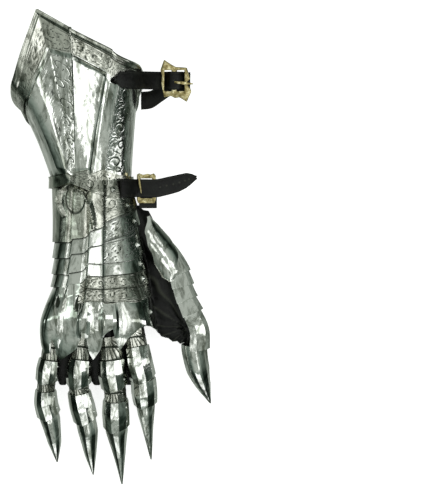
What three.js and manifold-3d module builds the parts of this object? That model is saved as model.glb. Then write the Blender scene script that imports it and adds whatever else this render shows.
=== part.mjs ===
// A right-hand plate gauntlet with a fluted, flared cuff, overlapping lames, a four-knuckle
// plate, clawed fingertips, a hollow leather glove and two buckled straps.
// Millimetres, +Z up. It lies palm down: the cuff points to +Y, the thumb side is +X, and the
// claw tips and the cuff's sides touch the floor. The origin is under the middle of its box.
import * as THREE from "three";
import { mergeVertices } from "three/addons/utils/BufferGeometryUtils.js";
import Module from "manifold-3d";

const wasm = await Module();
wasm.setup();

// Driving sizes. The wrist line is y = 0 while the gauntlet is being built.
const CUFF_LENGTH = 170;
const CUFF_BREADTH = 124;
const CUFF_DEPTH = 96;
const WRIST_BREADTH = 78;
const WRIST_DEPTH = 68;
const HAND_LENGTH = 155;
const HAND_BREADTH = 104;
const HAND_DEPTH = 68;
const FINGER_REACH = 166;
const FINGER_BREADTH = HAND_BREADTH / 4;

// Sheet, leather and the space between pieces.
const PLATE = 1.2;
const LEATHER = 1.8;
const STRAP_THICKNESS = 2.4;
const CLEARANCE = 0.5;
const LAME_RISE = 3.0;

// Relief, trim and fittings.
const FLUTE_HEIGHT = 4.5;
const TENDON_HEIGHT = 2.2;
const KNUCKLE_HEIGHT = 5;
const FINGER_RIDGE = 2.2;
const BORDER_WIDTH = 20;
const ROLL_WIDTH = 6;
const ROLL_HEIGHT = 3;
const WRIST_LAME_REACH = 17;
const HOOD_HEIGHT = 6;
const HOOD_BREADTH = 10;
const RIVET_RADIUS = 2.9;
const RIVET_HEIGHT = 1.8;
const STRAP_WIDTH = 18;
const CUFF_BUCKLE_SIZE = 20;
const WRIST_BUCKLE_SIZE = 15;
const BUCKLE_THICKNESS = 2.6;
const PRONG_THICKNESS = 2;
const CUP_DEPTH = 13;
const GLOVE_SLEEVE = 38;

const STEEL = { color: 0xb9bcb6, roughness: 0.18, metalness: 1 };
const ENGRAVED_STEEL = { color: 0x9b9c92, roughness: 0.32, metalness: 1 };
const BRASS = { color: 0xc2ad6b, roughness: 0.3, metalness: 1 };
const BLACK_LEATHER = { color: 0x0c0d0c, roughness: 0.5, metalness: 0 };

const gauntlet = new THREE.Group();

const lerp = THREE.MathUtils.lerp;
const clamp = THREE.MathUtils.clamp;
const radians = THREE.MathUtils.degToRad;
const vec = (x, y, z) => new THREE.Vector3(x, y, z);

function addPiece(name, geometry, finish) {
  const mesh = new THREE.Mesh(geometry, new THREE.MeshStandardMaterial(finish));
  mesh.name = name;
  gauntlet.add(mesh);
  return mesh;
}

function meshOf(position, index) {
  const geometry = new THREE.BufferGeometry();
  geometry.setAttribute("position", new THREE.Float32BufferAttribute(position, 3));
  geometry.setIndex(index);
  return geometry;
}

// A closed sheet of metal or leather. grid[row][column] holds the outer face, its rows running
// to the fingertips and its columns from the little-finger side to the thumb side.
function shell(grid, thickness) {
  const rows = grid.length;
  const columns = grid[0].length;
  const normals = grid.map((row) => row.map(() => vec(0, 0, 0)));
  for (let i = 0; i < rows - 1; i++) {
    for (let j = 0; j < columns - 1; j++) {
      const down = grid[i + 1][j + 1].clone().sub(grid[i][j]);
      const across = grid[i][j + 1].clone().sub(grid[i + 1][j]);
      const normal = down.cross(across).normalize();
      for (const [a, b] of [[i, j], [i + 1, j], [i, j + 1], [i + 1, j + 1]]) {
        normals[a][b].add(normal);
      }
    }
  }
  const position = [];
  grid.forEach((row, i) => row.forEach((point, j) => {
    const sunk = point.clone().addScaledVector(normals[i][j].normalize(), -thickness);
    position.push(...point.toArray(), ...sunk.toArray());
  }));
  const outer = (i, j) => 2 * (i * columns + j);
  const inner = (i, j) => outer(i, j) + 1;
  const index = [];
  const quad = (a, b, c, d) => index.push(a, b, c, a, c, d);
  const wall = (from, to) => quad(outer(...from), inner(...from), inner(...to), outer(...to));
  for (let i = 0; i < rows - 1; i++) {
    for (let j = 0; j < columns - 1; j++) {
      quad(outer(i, j), outer(i + 1, j), outer(i + 1, j + 1), outer(i, j + 1));
      quad(inner(i, j), inner(i, j + 1), inner(i + 1, j + 1), inner(i + 1, j));
    }
  }
  for (let j = 0; j < columns - 1; j++) {
    wall([0, j + 1], [0, j]);
    wall([rows - 1, j], [rows - 1, j + 1]);
  }
  for (let i = 0; i < rows - 1; i++) {
    wall([i, 0], [i + 1, 0]);
    wall([i + 1, columns - 1], [i, columns - 1]);
  }
  return meshOf(position, index);
}

// Rings of equal count, skinned in order and closed by a fan to a point at each end. A ring
// turns from the thumb side over the back of the hand to the little-finger side.
function skinned(rings, startPoint, endPoint) {
  const sides = rings[0].length;
  const position = rings.flat().flatMap((point) => point.toArray());
  const start = position.length / 3;
  const last = (rings.length - 1) * sides;
  position.push(...startPoint.toArray(), ...endPoint.toArray());
  const index = [];
  for (let j = 0; j < sides; j++) {
    const next = (j + 1) % sides;
    for (let i = 0; i < rings.length - 1; i++) {
      const [a, b] = [i * sides + j, i * sides + next];
      const [c, d] = [b + sides, a + sides];
      index.push(a, c, d, a, b, c);
    }
    index.push(start, next, j);
    index.push(start + 1, last + j, last + next);
  }
  return meshOf(position, index);
}

function middleOf(ring) {
  return ring.reduce((sum, point) => sum.add(point), vec(0, 0, 0)).divideScalar(ring.length);
}

function toSolid(geometry) {
  const bare = new THREE.BufferGeometry();
  bare.setAttribute("position", geometry.getAttribute("position"));
  if (geometry.index) bare.setIndex(geometry.index);
  const merged = mergeVertices(bare, 1e-3);
  return new wasm.Manifold(new wasm.Mesh({
    numProp: 3,
    vertProperties: new Float32Array(merged.attributes.position.array),
    triVerts: new Uint32Array(merged.index.array),
  }));
}

function toGeometry(solid) {
  const mesh = solid.getMesh();
  const geometry = new THREE.BufferGeometry();
  geometry.setAttribute("position", new THREE.BufferAttribute(mesh.vertProperties, 3));
  geometry.setIndex(new THREE.BufferAttribute(mesh.triVerts, 1));
  return geometry;
}

const unite = (geometries) => geometries.map(toSolid).reduce((all, one) => all.add(one));

// The lines of the gauntlet, from the little-finger edge over the back to the thumb edge. Each
// crosses the wrist, runs up to the cuff's rim and down to the knuckles. Places are shares of
// the breadths, depths and lengths; flute and tendon are shares of the relief heights, and
// mitre widens the border where its two sides meet at the peak.
const LINES = [
  { wristX: -0.44, wristZ: 0.12, rimX: -0.50, rimZ: 0.03, rimY: 0.38, flute: 0, mitre: 1,
    knuckleX: -0.38, knuckleZ: 0.30, tendon: 0 },
  { wristX: -0.57, wristZ: 0.42, rimX: -0.635, rimZ: 0.30, rimY: 0.465, flute: 0, mitre: 1,
    knuckleX: -0.44, knuckleZ: 0.50, tendon: 0 },
  { wristX: -0.535, wristZ: 0.66, rimX: -0.655, rimZ: 0.60, rimY: 0.55, flute: 0, mitre: 1,
    knuckleX: -0.445, knuckleZ: 0.72, tendon: 0 },
  { wristX: -0.42, wristZ: 0.80, rimX: -0.63, rimZ: 0.73, rimY: 0.62, flute: 0.9, mitre: 1.05,
    knuckleX: -0.415, knuckleZ: 0.82, tendon: 1 },
  { wristX: -0.34, wristZ: 0.88, rimX: -0.57, rimZ: 0.84, rimY: 0.765, flute: 0.7, mitre: 1.3,
    knuckleX: -0.34, knuckleZ: 0.88, tendon: 1 },
  { wristX: -0.295, wristZ: 0.915, rimX: -0.455, rimZ: 0.95, rimY: 1, flute: -0.2, mitre: 1.9,
    knuckleX: -0.325, knuckleZ: 0.895, tendon: 0 },
  { wristX: -0.26, wristZ: 0.93, rimX: -0.205, rimZ: 0.98, rimY: 0.895, flute: -0.4, mitre: 1.25,
    knuckleX: -0.305, knuckleZ: 0.91, tendon: 1 },
  { wristX: -0.235, wristZ: 0.94, rimX: -0.175, rimZ: 0.985, rimY: 0.88, flute: 0.95, mitre: 1.25,
    knuckleX: -0.28, knuckleZ: 0.925, tendon: 1 },
  { wristX: -0.11, wristZ: 0.97, rimX: 0.10, rimZ: 0.95, rimY: 0.775, flute: 1, mitre: 1.1,
    knuckleX: -0.17, knuckleZ: 0.97, tendon: 1 },
  { wristX: -0.06, wristZ: 0.975, rimX: 0.13, rimZ: 0.935, rimY: 0.755, flute: 0.1, mitre: 1.1,
    knuckleX: -0.14, knuckleZ: 0.975, tendon: 0 },
  { wristX: -0.03, wristZ: 0.975, rimX: 0.165, rimZ: 0.915, rimY: 0.735, flute: 0.3, mitre: 1.1,
    knuckleX: -0.10, knuckleZ: 0.985, tendon: 1 },
  { wristX: 0.08, wristZ: 0.96, rimX: 0.215, rimZ: 0.88, rimY: 0.715, flute: 0, mitre: 1.05,
    knuckleX: 0.04, knuckleZ: 0.99, tendon: 1 },
  { wristX: 0.13, wristZ: 0.935, rimX: 0.26, rimZ: 0.83, rimY: 0.7, flute: 0, mitre: 1,
    knuckleX: 0.09, knuckleZ: 0.985, tendon: 0 },
  { wristX: 0.26, wristZ: 0.86, rimX: 0.305, rimZ: 0.74, rimY: 0.685, flute: 0, mitre: 1,
    knuckleX: 0.28, knuckleZ: 0.93, tendon: 0.5 },
  { wristX: 0.36, wristZ: 0.76, rimX: 0.335, rimZ: 0.62, rimY: 0.665, flute: 0, mitre: 1,
    knuckleX: 0.44, knuckleZ: 0.81, tendon: 0 },
  { wristX: 0.44, wristZ: 0.60, rimX: 0.345, rimZ: 0.46, rimY: 0.62, flute: 0, mitre: 1,
    knuckleX: 0.55, knuckleZ: 0.67, tendon: 0 },
  { wristX: 0.445, wristZ: 0.38, rimX: 0.335, rimZ: 0.26, rimY: 0.55, flute: 0, mitre: 1,
    knuckleX: 0.59, knuckleZ: 0.50, tendon: 0 },
  { wristX: 0.40, wristZ: 0.16, rimX: 0.28, rimZ: 0.03, rimY: 0.465, flute: 0, mitre: 1,
    knuckleX: 0.55, knuckleZ: 0.34, tendon: 0 },
];
const LAST_LINE = LINES.length - 1;
const SECTION_CENTRE = 0.4;
const CUFF_FLARE = 0.3;
const RELIEF_LENGTH = 12;
const RELIEF_END = 5;
const HAND_WAIST = 0.1;
const KNUCKLE_LINE = 0.9;
const FALL_START = 0.88;
const FALL = 3;

// A value of the lines table at a place that may lie between two lines.
function lineValue(at, key) {
  const first = clamp(Math.floor(at), 0, LAST_LINE - 1);
  return lerp(LINES[first][key], LINES[first + 1][key], at - first);
}

function lifted(x, y, z, depth, lift) {
  const outwards = vec(x, 0, z - depth * SECTION_CENTRE).normalize();
  return vec(x, y, z).addScaledVector(outwards, lift);
}

const rimAt = (at) => lineValue(at, "rimY") * CUFF_LENGTH;
const borderAt = (at) => rimAt(at) - BORDER_WIDTH * lineValue(at, "mitre");

// A point on the cuff, y above the wrist line, lifted outwards. relief is 0 on a plain surface.
function cuffPoint(at, y, lift, relief = 1) {
  const s = y / rimAt(at);
  const flared = s * (1 - CUFF_FLARE * (1 - s));
  const x = lerp(lineValue(at, "wristX") * WRIST_BREADTH, lineValue(at, "rimX") * CUFF_BREADTH, flared);
  const z = lerp(lineValue(at, "wristZ") * WRIST_DEPTH, lineValue(at, "rimZ") * CUFF_DEPTH, flared);
  const rise = clamp(y / RELIEF_LENGTH, 0, 1) * clamp((borderAt(at) - y - 1) / RELIEF_END, 0, 1);
  const flute = relief * lineValue(at, "flute") * FLUTE_HEIGHT * rise;
  return lifted(x, y, z, lerp(WRIST_DEPTH, CUFF_DEPTH, flared), lift + flute);
}

// A point on the back of the hand. down is the share of HAND_LENGTH from the wrist line. The
// little-finger side is drawn in between the wrist and the knuckles.
function handPoint(at, down, lift, relief = 1) {
  const t = down / KNUCKLE_LINE;
  const straight = lerp(lineValue(at, "wristX") * WRIST_BREADTH, lineValue(at, "knuckleX") * HAND_BREADTH, t);
  const waist = straight < 0 ? HAND_WAIST * Math.sin(Math.PI * clamp(t, 0, 1)) : 0;
  const x = straight * (1 - waist);
  const z = lerp(lineValue(at, "wristZ") * WRIST_DEPTH, lineValue(at, "knuckleZ") * HAND_DEPTH, t);
  const fall = FALL * HAND_DEPTH * Math.max(0, down - FALL_START) ** 2;
  const rise = clamp((down * HAND_LENGTH) / RELIEF_LENGTH, 0, 1);
  const tendon = relief * lineValue(at, "tendon") * TENDON_HEIGHT * rise;
  const point = lifted(x, -down * HAND_LENGTH, z, lerp(WRIST_DEPTH, HAND_DEPTH, t), lift + tendon);
  return point.setZ(point.z - fall);
}

function armPoint(at, y, lift, relief = 1) {
  return y > 0 ? cuffPoint(at, y, lift, relief) : handPoint(at, -y / HAND_LENGTH, lift, relief);
}

// The outer face above x, at y, on the back of the arm.
function surfaceAt(x, y, lift) {
  for (let at = 2; at < LAST_LINE; at += 0.25) {
    const here = armPoint(at, y, lift);
    const there = armPoint(at + 0.25, y, lift);
    if (x >= here.x && x <= there.x) {
      return here.clone().lerp(there, (x - here.x) / (there.x - here.x));
    }
  }
  return armPoint(LAST_LINE - 2, y, lift);
}

function cuffPlate() {
  const ys = [
    (at) => rimAt(at) - ROLL_WIDTH * 1.2,
    (at) => borderAt(at),
    ...[1, 0.66, 0.33].map((share) => (at) => (borderAt(at) - RELIEF_END - 1) * share),
    () => RELIEF_LENGTH,
    () => CLEARANCE,
  ];
  return shell(ys.map((yAt) => LINES.map((_, at) => cuffPoint(at, yAt(at), 0))), PLATE);
}

// The applied border: a flat band on the cuff whose outer edge is rolled over.
const ROLL_PROFILE = [
  { back: 0, lift: -0.3 },
  { back: 0, lift: 0.55 },
  { back: 0.4, lift: 1 },
  { back: 0.9, lift: 0.5 },
  { back: 1.2, lift: 0 },
];

function cuffBorder() {
  const seat = PLATE + 2 * CLEARANCE;
  const grid = ROLL_PROFILE.map(({ back, lift }) => LINES.map((_, at) => (
    cuffPoint(at, rimAt(at) - back * ROLL_WIDTH, seat + lift * ROLL_HEIGHT)
  )));
  grid.push(LINES.map((_, at) => cuffPoint(at, borderAt(at), seat)));
  return shell(grid, PLATE);
}

addPiece("cuff_plate", cuffPlate(), STEEL);
addPiece("cuff_border", cuffBorder(), ENGRAVED_STEEL);

// The scalloped wrist lame laps over the cuff's lower end and the first hand plate. Its edges
// are shares of WRIST_LAME_REACH above and below the wrist line, one for each line.
const WRIST_LAME_UP = [
  0.2, 0.2, 0.2, 0.25, 0.35, 0.27, 0.32, 0.4, 0.5, 0.38, 0.38, 0.58, 0.52, 0.3, 0.24, 0.2, 0.2, 0.2,
];
const WRIST_LAME_DOWN = [
  0.5, 0.5, 0.46, 0.35, 0.2, 0.2, 0.25, 0.3, 0.55, 0.65, 0.7, 0.9, 1, 1, 0.85, 0.65, 0.5, 0.45,
];

function wristLamePoint(at, t, extra = 0) {
  const first = Math.min(Math.floor(at), LAST_LINE - 1);
  const edge = (shares) => lerp(shares[first], shares[first + 1], at - first) * WRIST_LAME_REACH;
  const y = lerp(edge(WRIST_LAME_UP), -edge(WRIST_LAME_DOWN), t);
  return armPoint(at, y, PLATE + 2 * CLEARANCE + (t * LAME_RISE) / 2 + extra);
}

addPiece("wrist_lame", shell([0, 0.3, 0.6, 1].map((t) => (
  LINES.map((_, at) => wristLamePoint(at, t))
)), PLATE), ENGRAVED_STEEL);

// Lower edges of the plates on the back of the hand, as shares of HAND_LENGTH at the flutes of
// the fingers and at the thumb-side edge. The last two cover the thumb half alone.
const HAND_PLATES = [
  { name: "boss_plate", little: 0.40, ring: 0.38, middle: 0.33, index: 0.226, thumb: 0.17, from: 0 },
  { name: "hand_lame_1", little: 0.503, ring: 0.477, middle: 0.432, index: 0.36, thumb: 0.28, from: 0 },
  { name: "hand_lame_2", little: 0.606, ring: 0.6, middle: 0.535, index: 0.525, thumb: 0.46, from: 0 },
  { name: "hand_lame_3", little: 0.69, ring: 0.675, middle: 0.615, index: 0.605, thumb: 0.557, from: 0 },
  { name: "hand_lame_4", little: 0.74, ring: 0.72, middle: 0.695, index: 0.69, thumb: 0.66, from: 8 },
  { name: "hand_lame_5", little: 0.8, ring: 0.79, middle: 0.778, index: 0.778, thumb: 0.745, from: 8 },
];
const EDGE_KNOTS = [
  { at: 4, key: "little" },
  { at: 7, key: "ring" },
  { at: 10, key: "middle" },
  { at: 13, key: "index" },
  { at: 15, key: "thumb" },
];
const HAND_LAST_LINE = EDGE_KNOTS[EDGE_KNOTS.length - 1].at;
const LAME_OVERLAP = 0.035;

function edgeAt(plate, at) {
  if (at <= EDGE_KNOTS[0].at) return plate.little;
  if (at >= HAND_LAST_LINE) return plate.thumb;
  const n = EDGE_KNOTS.findIndex((knot) => at <= knot.at);
  const [low, high] = [EDGE_KNOTS[n - 1], EDGE_KNOTS[n]];
  return lerp(plate[low.key], plate[high.key], (at - low.at) / (high.at - low.at));
}

function handPlatePoint(number, at, t, extra = 0) {
  const top = number === 0
    ? CLEARANCE / HAND_LENGTH
    : edgeAt(HAND_PLATES[number - 1], at) - LAME_OVERLAP;
  const down = lerp(top, edgeAt(HAND_PLATES[number], at), t);
  return handPoint(at, down, t * LAME_RISE + extra);
}

function handPlate(number, shares) {
  const { from } = HAND_PLATES[number];
  const lines = LINES.map((_, at) => at).filter((at) => at >= from && at <= HAND_LAST_LINE);
  return shell(shares.map((t) => lines.map((at) => handPlatePoint(number, at, t))), PLATE);
}

// The hood on the wrist: a pointed arch of two raised legs, one solid with the plate under it.
const HOOD_LEGS = [
  [{ at: 4.4, down: 0.05 }, { at: 3.1, down: 0.09 }, { at: 2.75, down: 0.15 }, { at: 3.1, down: 0.22 }],
  [{ at: 4.4, down: 0.05 }, { at: 7.5, down: 0.095 }, { at: 9, down: 0.15 }, { at: 10.2, down: 0.27 }],
];
const HOOD_SINK = 0.4;

function hoodLeg(leg) {
  const route = new THREE.CatmullRomCurve3(leg.map(({ at, down }) => (
    handPoint(at, down, (LAME_RISE * down) / HAND_PLATES[0].little - PLATE * HOOD_SINK, 0)
  )));
  const steps = 7;
  const rings = [];
  for (let i = 0; i <= steps; i++) {
    const t = i / steps;
    const along = route.getTangent(t);
    const middle = route.getPoint(t);
    const out = vec(middle.x, 0, middle.z - WRIST_DEPTH * SECTION_CENTRE).normalize();
    const side = out.clone().cross(along).normalize();
    const half = (HOOD_BREADTH / 2) * (1 - 0.4 * t);
    const crest = HOOD_HEIGHT * (1 - 0.5 * t * t);
    const place = (across, up) => (
      middle.clone().addScaledVector(side, across * half).addScaledVector(out, up * crest)
    );
    rings.push([place(1, 0), place(0.75, 0.6), place(0.1, 1), place(-0.7, 0.7), place(-1, 0)]);
  }
  return skinned(rings, route.getPoint(0), route.getPoint(1));
}

addPiece("boss_plate", toGeometry(unite([
  handPlate(0, [0, 0.15, 0.4, 0.7, 1]),
  ...HOOD_LEGS.map(hoodLeg),
])), ENGRAVED_STEEL);
for (let number = 1; number < HAND_PLATES.length; number++) {
  const finish = number > 3 ? ENGRAVED_STEEL : STEEL;
  addPiece(HAND_PLATES[number].name, handPlate(number, [0, 0.5, 1]), finish);
}

// The knuckle plate: end is its lower edge as a share of HAND_LENGTH, with a talon between the
// fingers and a notch over each, bulge a share of KNUCKLE_HEIGHT, and fade where it ends.
const KNUCKLE_LINES = [
  { at: 0, end: 0.95, bulge: 0.8, fade: 1.22 },
  { at: 1, end: 1.02, bulge: 1.8, fade: 1.22 },
  { at: 2, end: 1.08, bulge: 1.8, fade: 1.22 },
  { at: 2.7, end: 1.12, bulge: 1.35, fade: 1.2 },
  { at: 3.25, end: 1.12, bulge: 1.2, fade: 1.15 },
  { at: 3.5, end: 1.02, bulge: 1.1, fade: 1.1 },
  { at: 3.8, end: 1.13, bulge: 1, fade: 1.1 },
  { at: 5.4, end: 1.15, bulge: 0.8, fade: 1.05 },
  { at: 6.5, end: 1.16, bulge: 0.2, fade: 1.02 },
  { at: 7.1, end: 1.15, bulge: 0.2, fade: 1.02 },
  { at: 7.7, end: 1.11, bulge: 0.5, fade: 1.02 },
  { at: 9, end: 1.04, bulge: 0.95, fade: 1.02 },
  { at: 9.6, end: 1.015, bulge: 1, fade: 1.02 },
  { at: 10.2, end: 1.02, bulge: 0.9, fade: 1.02 },
  { at: 10.4, end: 1.12, bulge: 0.4, fade: 1.02 },
  { at: 10.6, end: 1.16, bulge: 0.2, fade: 1.02 },
  { at: 10.85, end: 1.12, bulge: 0.2, fade: 1.02 },
  { at: 11.6, end: 1.03, bulge: 0.7, fade: 1.02 },
  { at: 12.35, end: 0.96, bulge: 1, fade: 1.02 },
  { at: 12.5, end: 1.03, bulge: 0.9, fade: 1.02 },
  { at: 12.65, end: 1.1, bulge: 0.5, fade: 1.02 },
  { at: 13, end: 1.03, bulge: 0.6, fade: 1.02 },
  { at: 13.6, end: 0.955, bulge: 0.9, fade: 1.02 },
  { at: 14, end: 0.94, bulge: 0.7, fade: 1.02 },
  { at: 14.5, end: 0.945, bulge: 0.3, fade: 1.02 },
  { at: 15, end: 0.965, bulge: 0, fade: 1.02 },
  { at: 15.2, end: 0.97, bulge: 0, fade: 1.02 },
];
const KNUCKLE_LIFT = 1.6;

function knucklePoint(place, t, extra = 0) {
  const first = Math.min(Math.floor(place), KNUCKLE_LINES.length - 2);
  const value = (key) => lerp(KNUCKLE_LINES[first][key], KNUCKLE_LINES[first + 1][key], place - first);
  const last = HAND_PLATES[HAND_PLATES.length - 1];
  const at = value("at");
  const edge = edgeAt(at < last.from ? HAND_PLATES[3] : last, at);
  const down = lerp(edge - LAME_OVERLAP, value("end"), t);
  const hump = Math.sin(Math.PI * clamp((down - edge) / (value("fade") - edge), 0, 1));
  const tendons = clamp(1 - (down - edge) / (2 * LAME_OVERLAP), 0, 1);
  const lift = KNUCKLE_LIFT * t - CLEARANCE / 2 + value("bulge") * KNUCKLE_HEIGHT * hump;
  return handPoint(at, down, lift + extra, tendons);
}

addPiece("knuckle_plate", shell([0, 0.15, 0.35, 0.55, 0.78, 1].map((t) => (
  KNUCKLE_LINES.map((_, place) => knucklePoint(place, t))
)), PLATE), STEEL);

// The digits. Each row of axis is a place on the digit's middle line: x is a share of
// HAND_BREADTH, reach of FINGER_REACH beyond the knuckle line, z of HAND_DEPTH, and r of
// FINGER_BREADTH. under, first, middle, last and claw say where the plates begin and end.
const DIGITS = {
  little: {
    axis: [
      { x: -0.395, reach: -0.05, z: 0.54, r: 0.43 },
      { x: -0.412, reach: 0.05, z: 0.525, r: 0.43 },
      { x: -0.432, reach: 0.18, z: 0.485, r: 0.43 },
      { x: -0.4615, reach: 0.30, z: 0.44, r: 0.43 },
      { x: -0.485, reach: 0.42, z: 0.38, r: 0.42 },
      { x: -0.48, reach: 0.51, z: 0.32, r: 0.44 },
      { x: -0.447, reach: 0.60, z: 0.25, r: 0.47 },
      { x: -0.404, reach: 0.745, z: 0.135, r: 0.31 },
      { x: -0.38, reach: 0.866, z: 0.04, r: 0.03 },
    ],
    under: [0.108, 0.259], first: [0.241, 0.3675], middle: [0.349, 0.44],
    last: [0.425, 0.572], claw: 0.5,
  },
  ring: {
    axis: [
      { x: -0.12, reach: -0.09, z: 0.64, r: 0.48 },
      { x: -0.125, reach: 0.05, z: 0.625, r: 0.48 },
      { x: -0.14, reach: 0.18, z: 0.58, r: 0.48 },
      { x: -0.163, reach: 0.313, z: 0.545, r: 0.47 },
      { x: -0.163, reach: 0.434, z: 0.456, r: 0.46 },
      { x: -0.125, reach: 0.542, z: 0.375, r: 0.47 },
      { x: -0.082, reach: 0.672, z: 0.28, r: 0.46 },
      { x: -0.058, reach: 0.816, z: 0.155, r: 0.27 },
      { x: -0.032, reach: 0.942, z: 0.04, r: 0.03 },
    ],
    under: [0.096, 0.259], first: [0.241, 0.3855], middle: [0.367, 0.458],
    last: [0.434, 0.602], claw: 0.53,
  },
  middle: {
    axis: [
      { x: 0.1, reach: -0.09, z: 0.66, r: 0.53 },
      { x: 0.115, reach: 0.05, z: 0.645, r: 0.53 },
      { x: 0.135, reach: 0.18, z: 0.6, r: 0.53 },
      { x: 0.154, reach: 0.313, z: 0.56, r: 0.52 },
      { x: 0.183, reach: 0.44, z: 0.485, r: 0.5 },
      { x: 0.19, reach: 0.56, z: 0.395, r: 0.5 },
      { x: 0.197, reach: 0.672, z: 0.3, r: 0.5 },
      { x: 0.221, reach: 0.816, z: 0.17, r: 0.28 },
      { x: 0.246, reach: 1, z: 0.04, r: 0.03 },
    ],
    under: [0.096, 0.259], first: [0.241, 0.404], middle: [0.3855, 0.5],
    last: [0.482, 0.6446], claw: 0.566,
  },
  index: {
    axis: [
      { x: 0.32, reach: -0.09, z: 0.54, r: 0.51 },
      { x: 0.345, reach: 0.03, z: 0.54, r: 0.51 },
      { x: 0.372, reach: 0.12, z: 0.525, r: 0.51 },
      { x: 0.413, reach: 0.253, z: 0.5, r: 0.51 },
      { x: 0.452, reach: 0.36, z: 0.426, r: 0.5 },
      { x: 0.471, reach: 0.48, z: 0.323, r: 0.46 },
      { x: 0.481, reach: 0.572, z: 0.265, r: 0.38 },
      { x: 0.527, reach: 0.85, z: 0.04, r: 0.03 },
    ],
    under: [0.055, 0.18], first: [0.163, 0.349], middle: [0.313, 0.3855],
    last: [0.358, 0.512], claw: 0.44,
  },
  thumb: {
    axis: [
      { x: 0.36, reach: -0.68, z: 0.48, r: 0.38 },
      { x: 0.50, reach: -0.494, z: 0.47, r: 0.6 },
      { x: 0.645, reach: -0.373, z: 0.455, r: 0.65 },
      { x: 0.74, reach: -0.271, z: 0.45, r: 0.615 },
      { x: 0.808, reach: -0.1325, z: 0.44, r: 0.58 },
      { x: 0.875, reach: -0.03, z: 0.434, r: 0.58 },
      { x: 0.942, reach: 0.072, z: 0.41, r: 0.58 },
      { x: 0.945, reach: 0.18, z: 0.36, r: 0.57 },
      { x: 0.98, reach: 0.3, z: 0.27, r: 0.52 },
      { x: 1.033, reach: 0.4, z: 0.17, r: 0.33 },
      { x: 1.1, reach: 0.509, z: 0.05, r: 0.03 },
    ],
    claw: 0.15,
  },
};
const reachY = (reach) => -KNUCKLE_LINE * HAND_LENGTH - reach * FINGER_REACH;
for (const digit of Object.values(DIGITS)) {
  digit.curve = new THREE.CatmullRomCurve3(digit.axis.map(({ x, reach, z }) => (
    vec(x * HAND_BREADTH, reachY(reach), z * HAND_DEPTH)
  )));
}

// Where along its curve a digit reaches so far beyond the knuckle line.
function stationAt(digit, reach) {
  let [low, high] = [0, 1];
  for (let i = 0; i < 30; i++) {
    const half = (low + high) / 2;
    if (digit.curve.getPoint(half).y > reachY(reach)) low = half;
    else high = half;
  }
  return low;
}

// Layers round a digit, as the lift of each one's outer face from the widest plate's.
const OUTER = 0;
const INNER = -(PLATE + CLEARANCE);
const SKIN = 2 * INNER;

// Turns round a digit in degrees, from the thumb side over the back, with the ridge's share.
const TURNS = [
  { turn: -25, ridge: 0 }, { turn: 10, ridge: 0 }, { turn: 45, ridge: 0.1 },
  { turn: 80, ridge: 0.45 }, { turn: 108, ridge: 1 }, { turn: 135, ridge: 0.4 },
  { turn: 170, ridge: 0 }, { turn: 205, ridge: 0 }, { turn: 245, ridge: 0 },
  { turn: 290, ridge: 0 },
];

function digitRadius(digit, t) {
  const place = t * (digit.axis.length - 1);
  const first = Math.min(Math.floor(place), digit.axis.length - 2);
  return lerp(digit.axis[first].r, digit.axis[first + 1].r, place - first) * FINGER_BREADTH;
}

function digitPoint(digit, t, turn, radius) {
  const along = digit.curve.getTangent(t);
  const up = vec(0, 0, 1).addScaledVector(along, -along.z).normalize();
  const side = up.clone().cross(along);
  return digit.curve.getPoint(t)
    .addScaledVector(side, radius * Math.cos(radians(turn)))
    .addScaledVector(up, radius * Math.sin(radians(turn)));
}

function archGrid(digit, reaches, turns, liftAt) {
  return reaches.map((reach, i) => {
    const t = stationAt(digit, reach);
    const lift = liftAt(i / (reaches.length - 1));
    return turns.map(({ turn, ridge }) => (
      digitPoint(digit, t, turn, digitRadius(digit, t) + lift + ridge * FINGER_RIDGE)
    ));
  });
}

const FINGER_TURNS = TURNS.slice(0, 8).reverse();
const between = ([from, to], steps) => (
  Array.from({ length: steps + 1 }, (_, i) => lerp(from, to, i / steps))
);

function ringOf(digit, t, radius, share) {
  return TURNS.map(({ turn, ridge }) => (
    digitPoint(digit, t, turn, radius + ridge * FINGER_RIDGE * share)
  ));
}

// A claw: a long faceted cone that holds the end of a stall in a cup.
function claw(digit, ridge) {
  const start = stationAt(digit, digit.claw);
  const floor = stationAt(digit, digit.claw + CUP_DEPTH / FINGER_REACH);
  const full = digitRadius(digit, start);
  const outer = (t) => (digitRadius(digit, t) * (full + INNER)) / full;
  const bore = (t) => digitRadius(digit, t) + INNER - PLATE;
  const rings = [ringOf(digit, floor, bore(floor) * 0.7, 0), ringOf(digit, start, bore(start), 0)];
  for (const share of [0, 0.2, 0.42, 0.7, 1]) {
    const t = lerp(start, 1, share);
    rings.push(ringOf(digit, t, outer(t), ridge * (1 - share)));
  }
  return skinned(rings, digit.curve.getPoint(floor), digit.curve.getPoint(1));
}

for (const name of ["little", "ring", "middle", "index"]) {
  const digit = DIGITS[name];
  const plate = (reaches, layer, flare) => shell(
    archGrid(digit, between(reaches, 2), FINGER_TURNS, (t) => layer + flare * t), PLATE,
  );
  addPiece(`${name}_knuckle_lame`, plate(digit.under, INNER, 0), ENGRAVED_STEEL);
  addPiece(`${name}_first_plate`, plate(digit.first, OUTER, 0.6), STEEL);
  addPiece(`${name}_joint_lame`, plate(digit.middle, INNER, 0), STEEL);
  addPiece(`${name}_end_plate`, plate(digit.last, OUTER, 0.6), STEEL);
  addPiece(`${name}_claw`, claw(digit, 0.6), STEEL);
}

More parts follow.
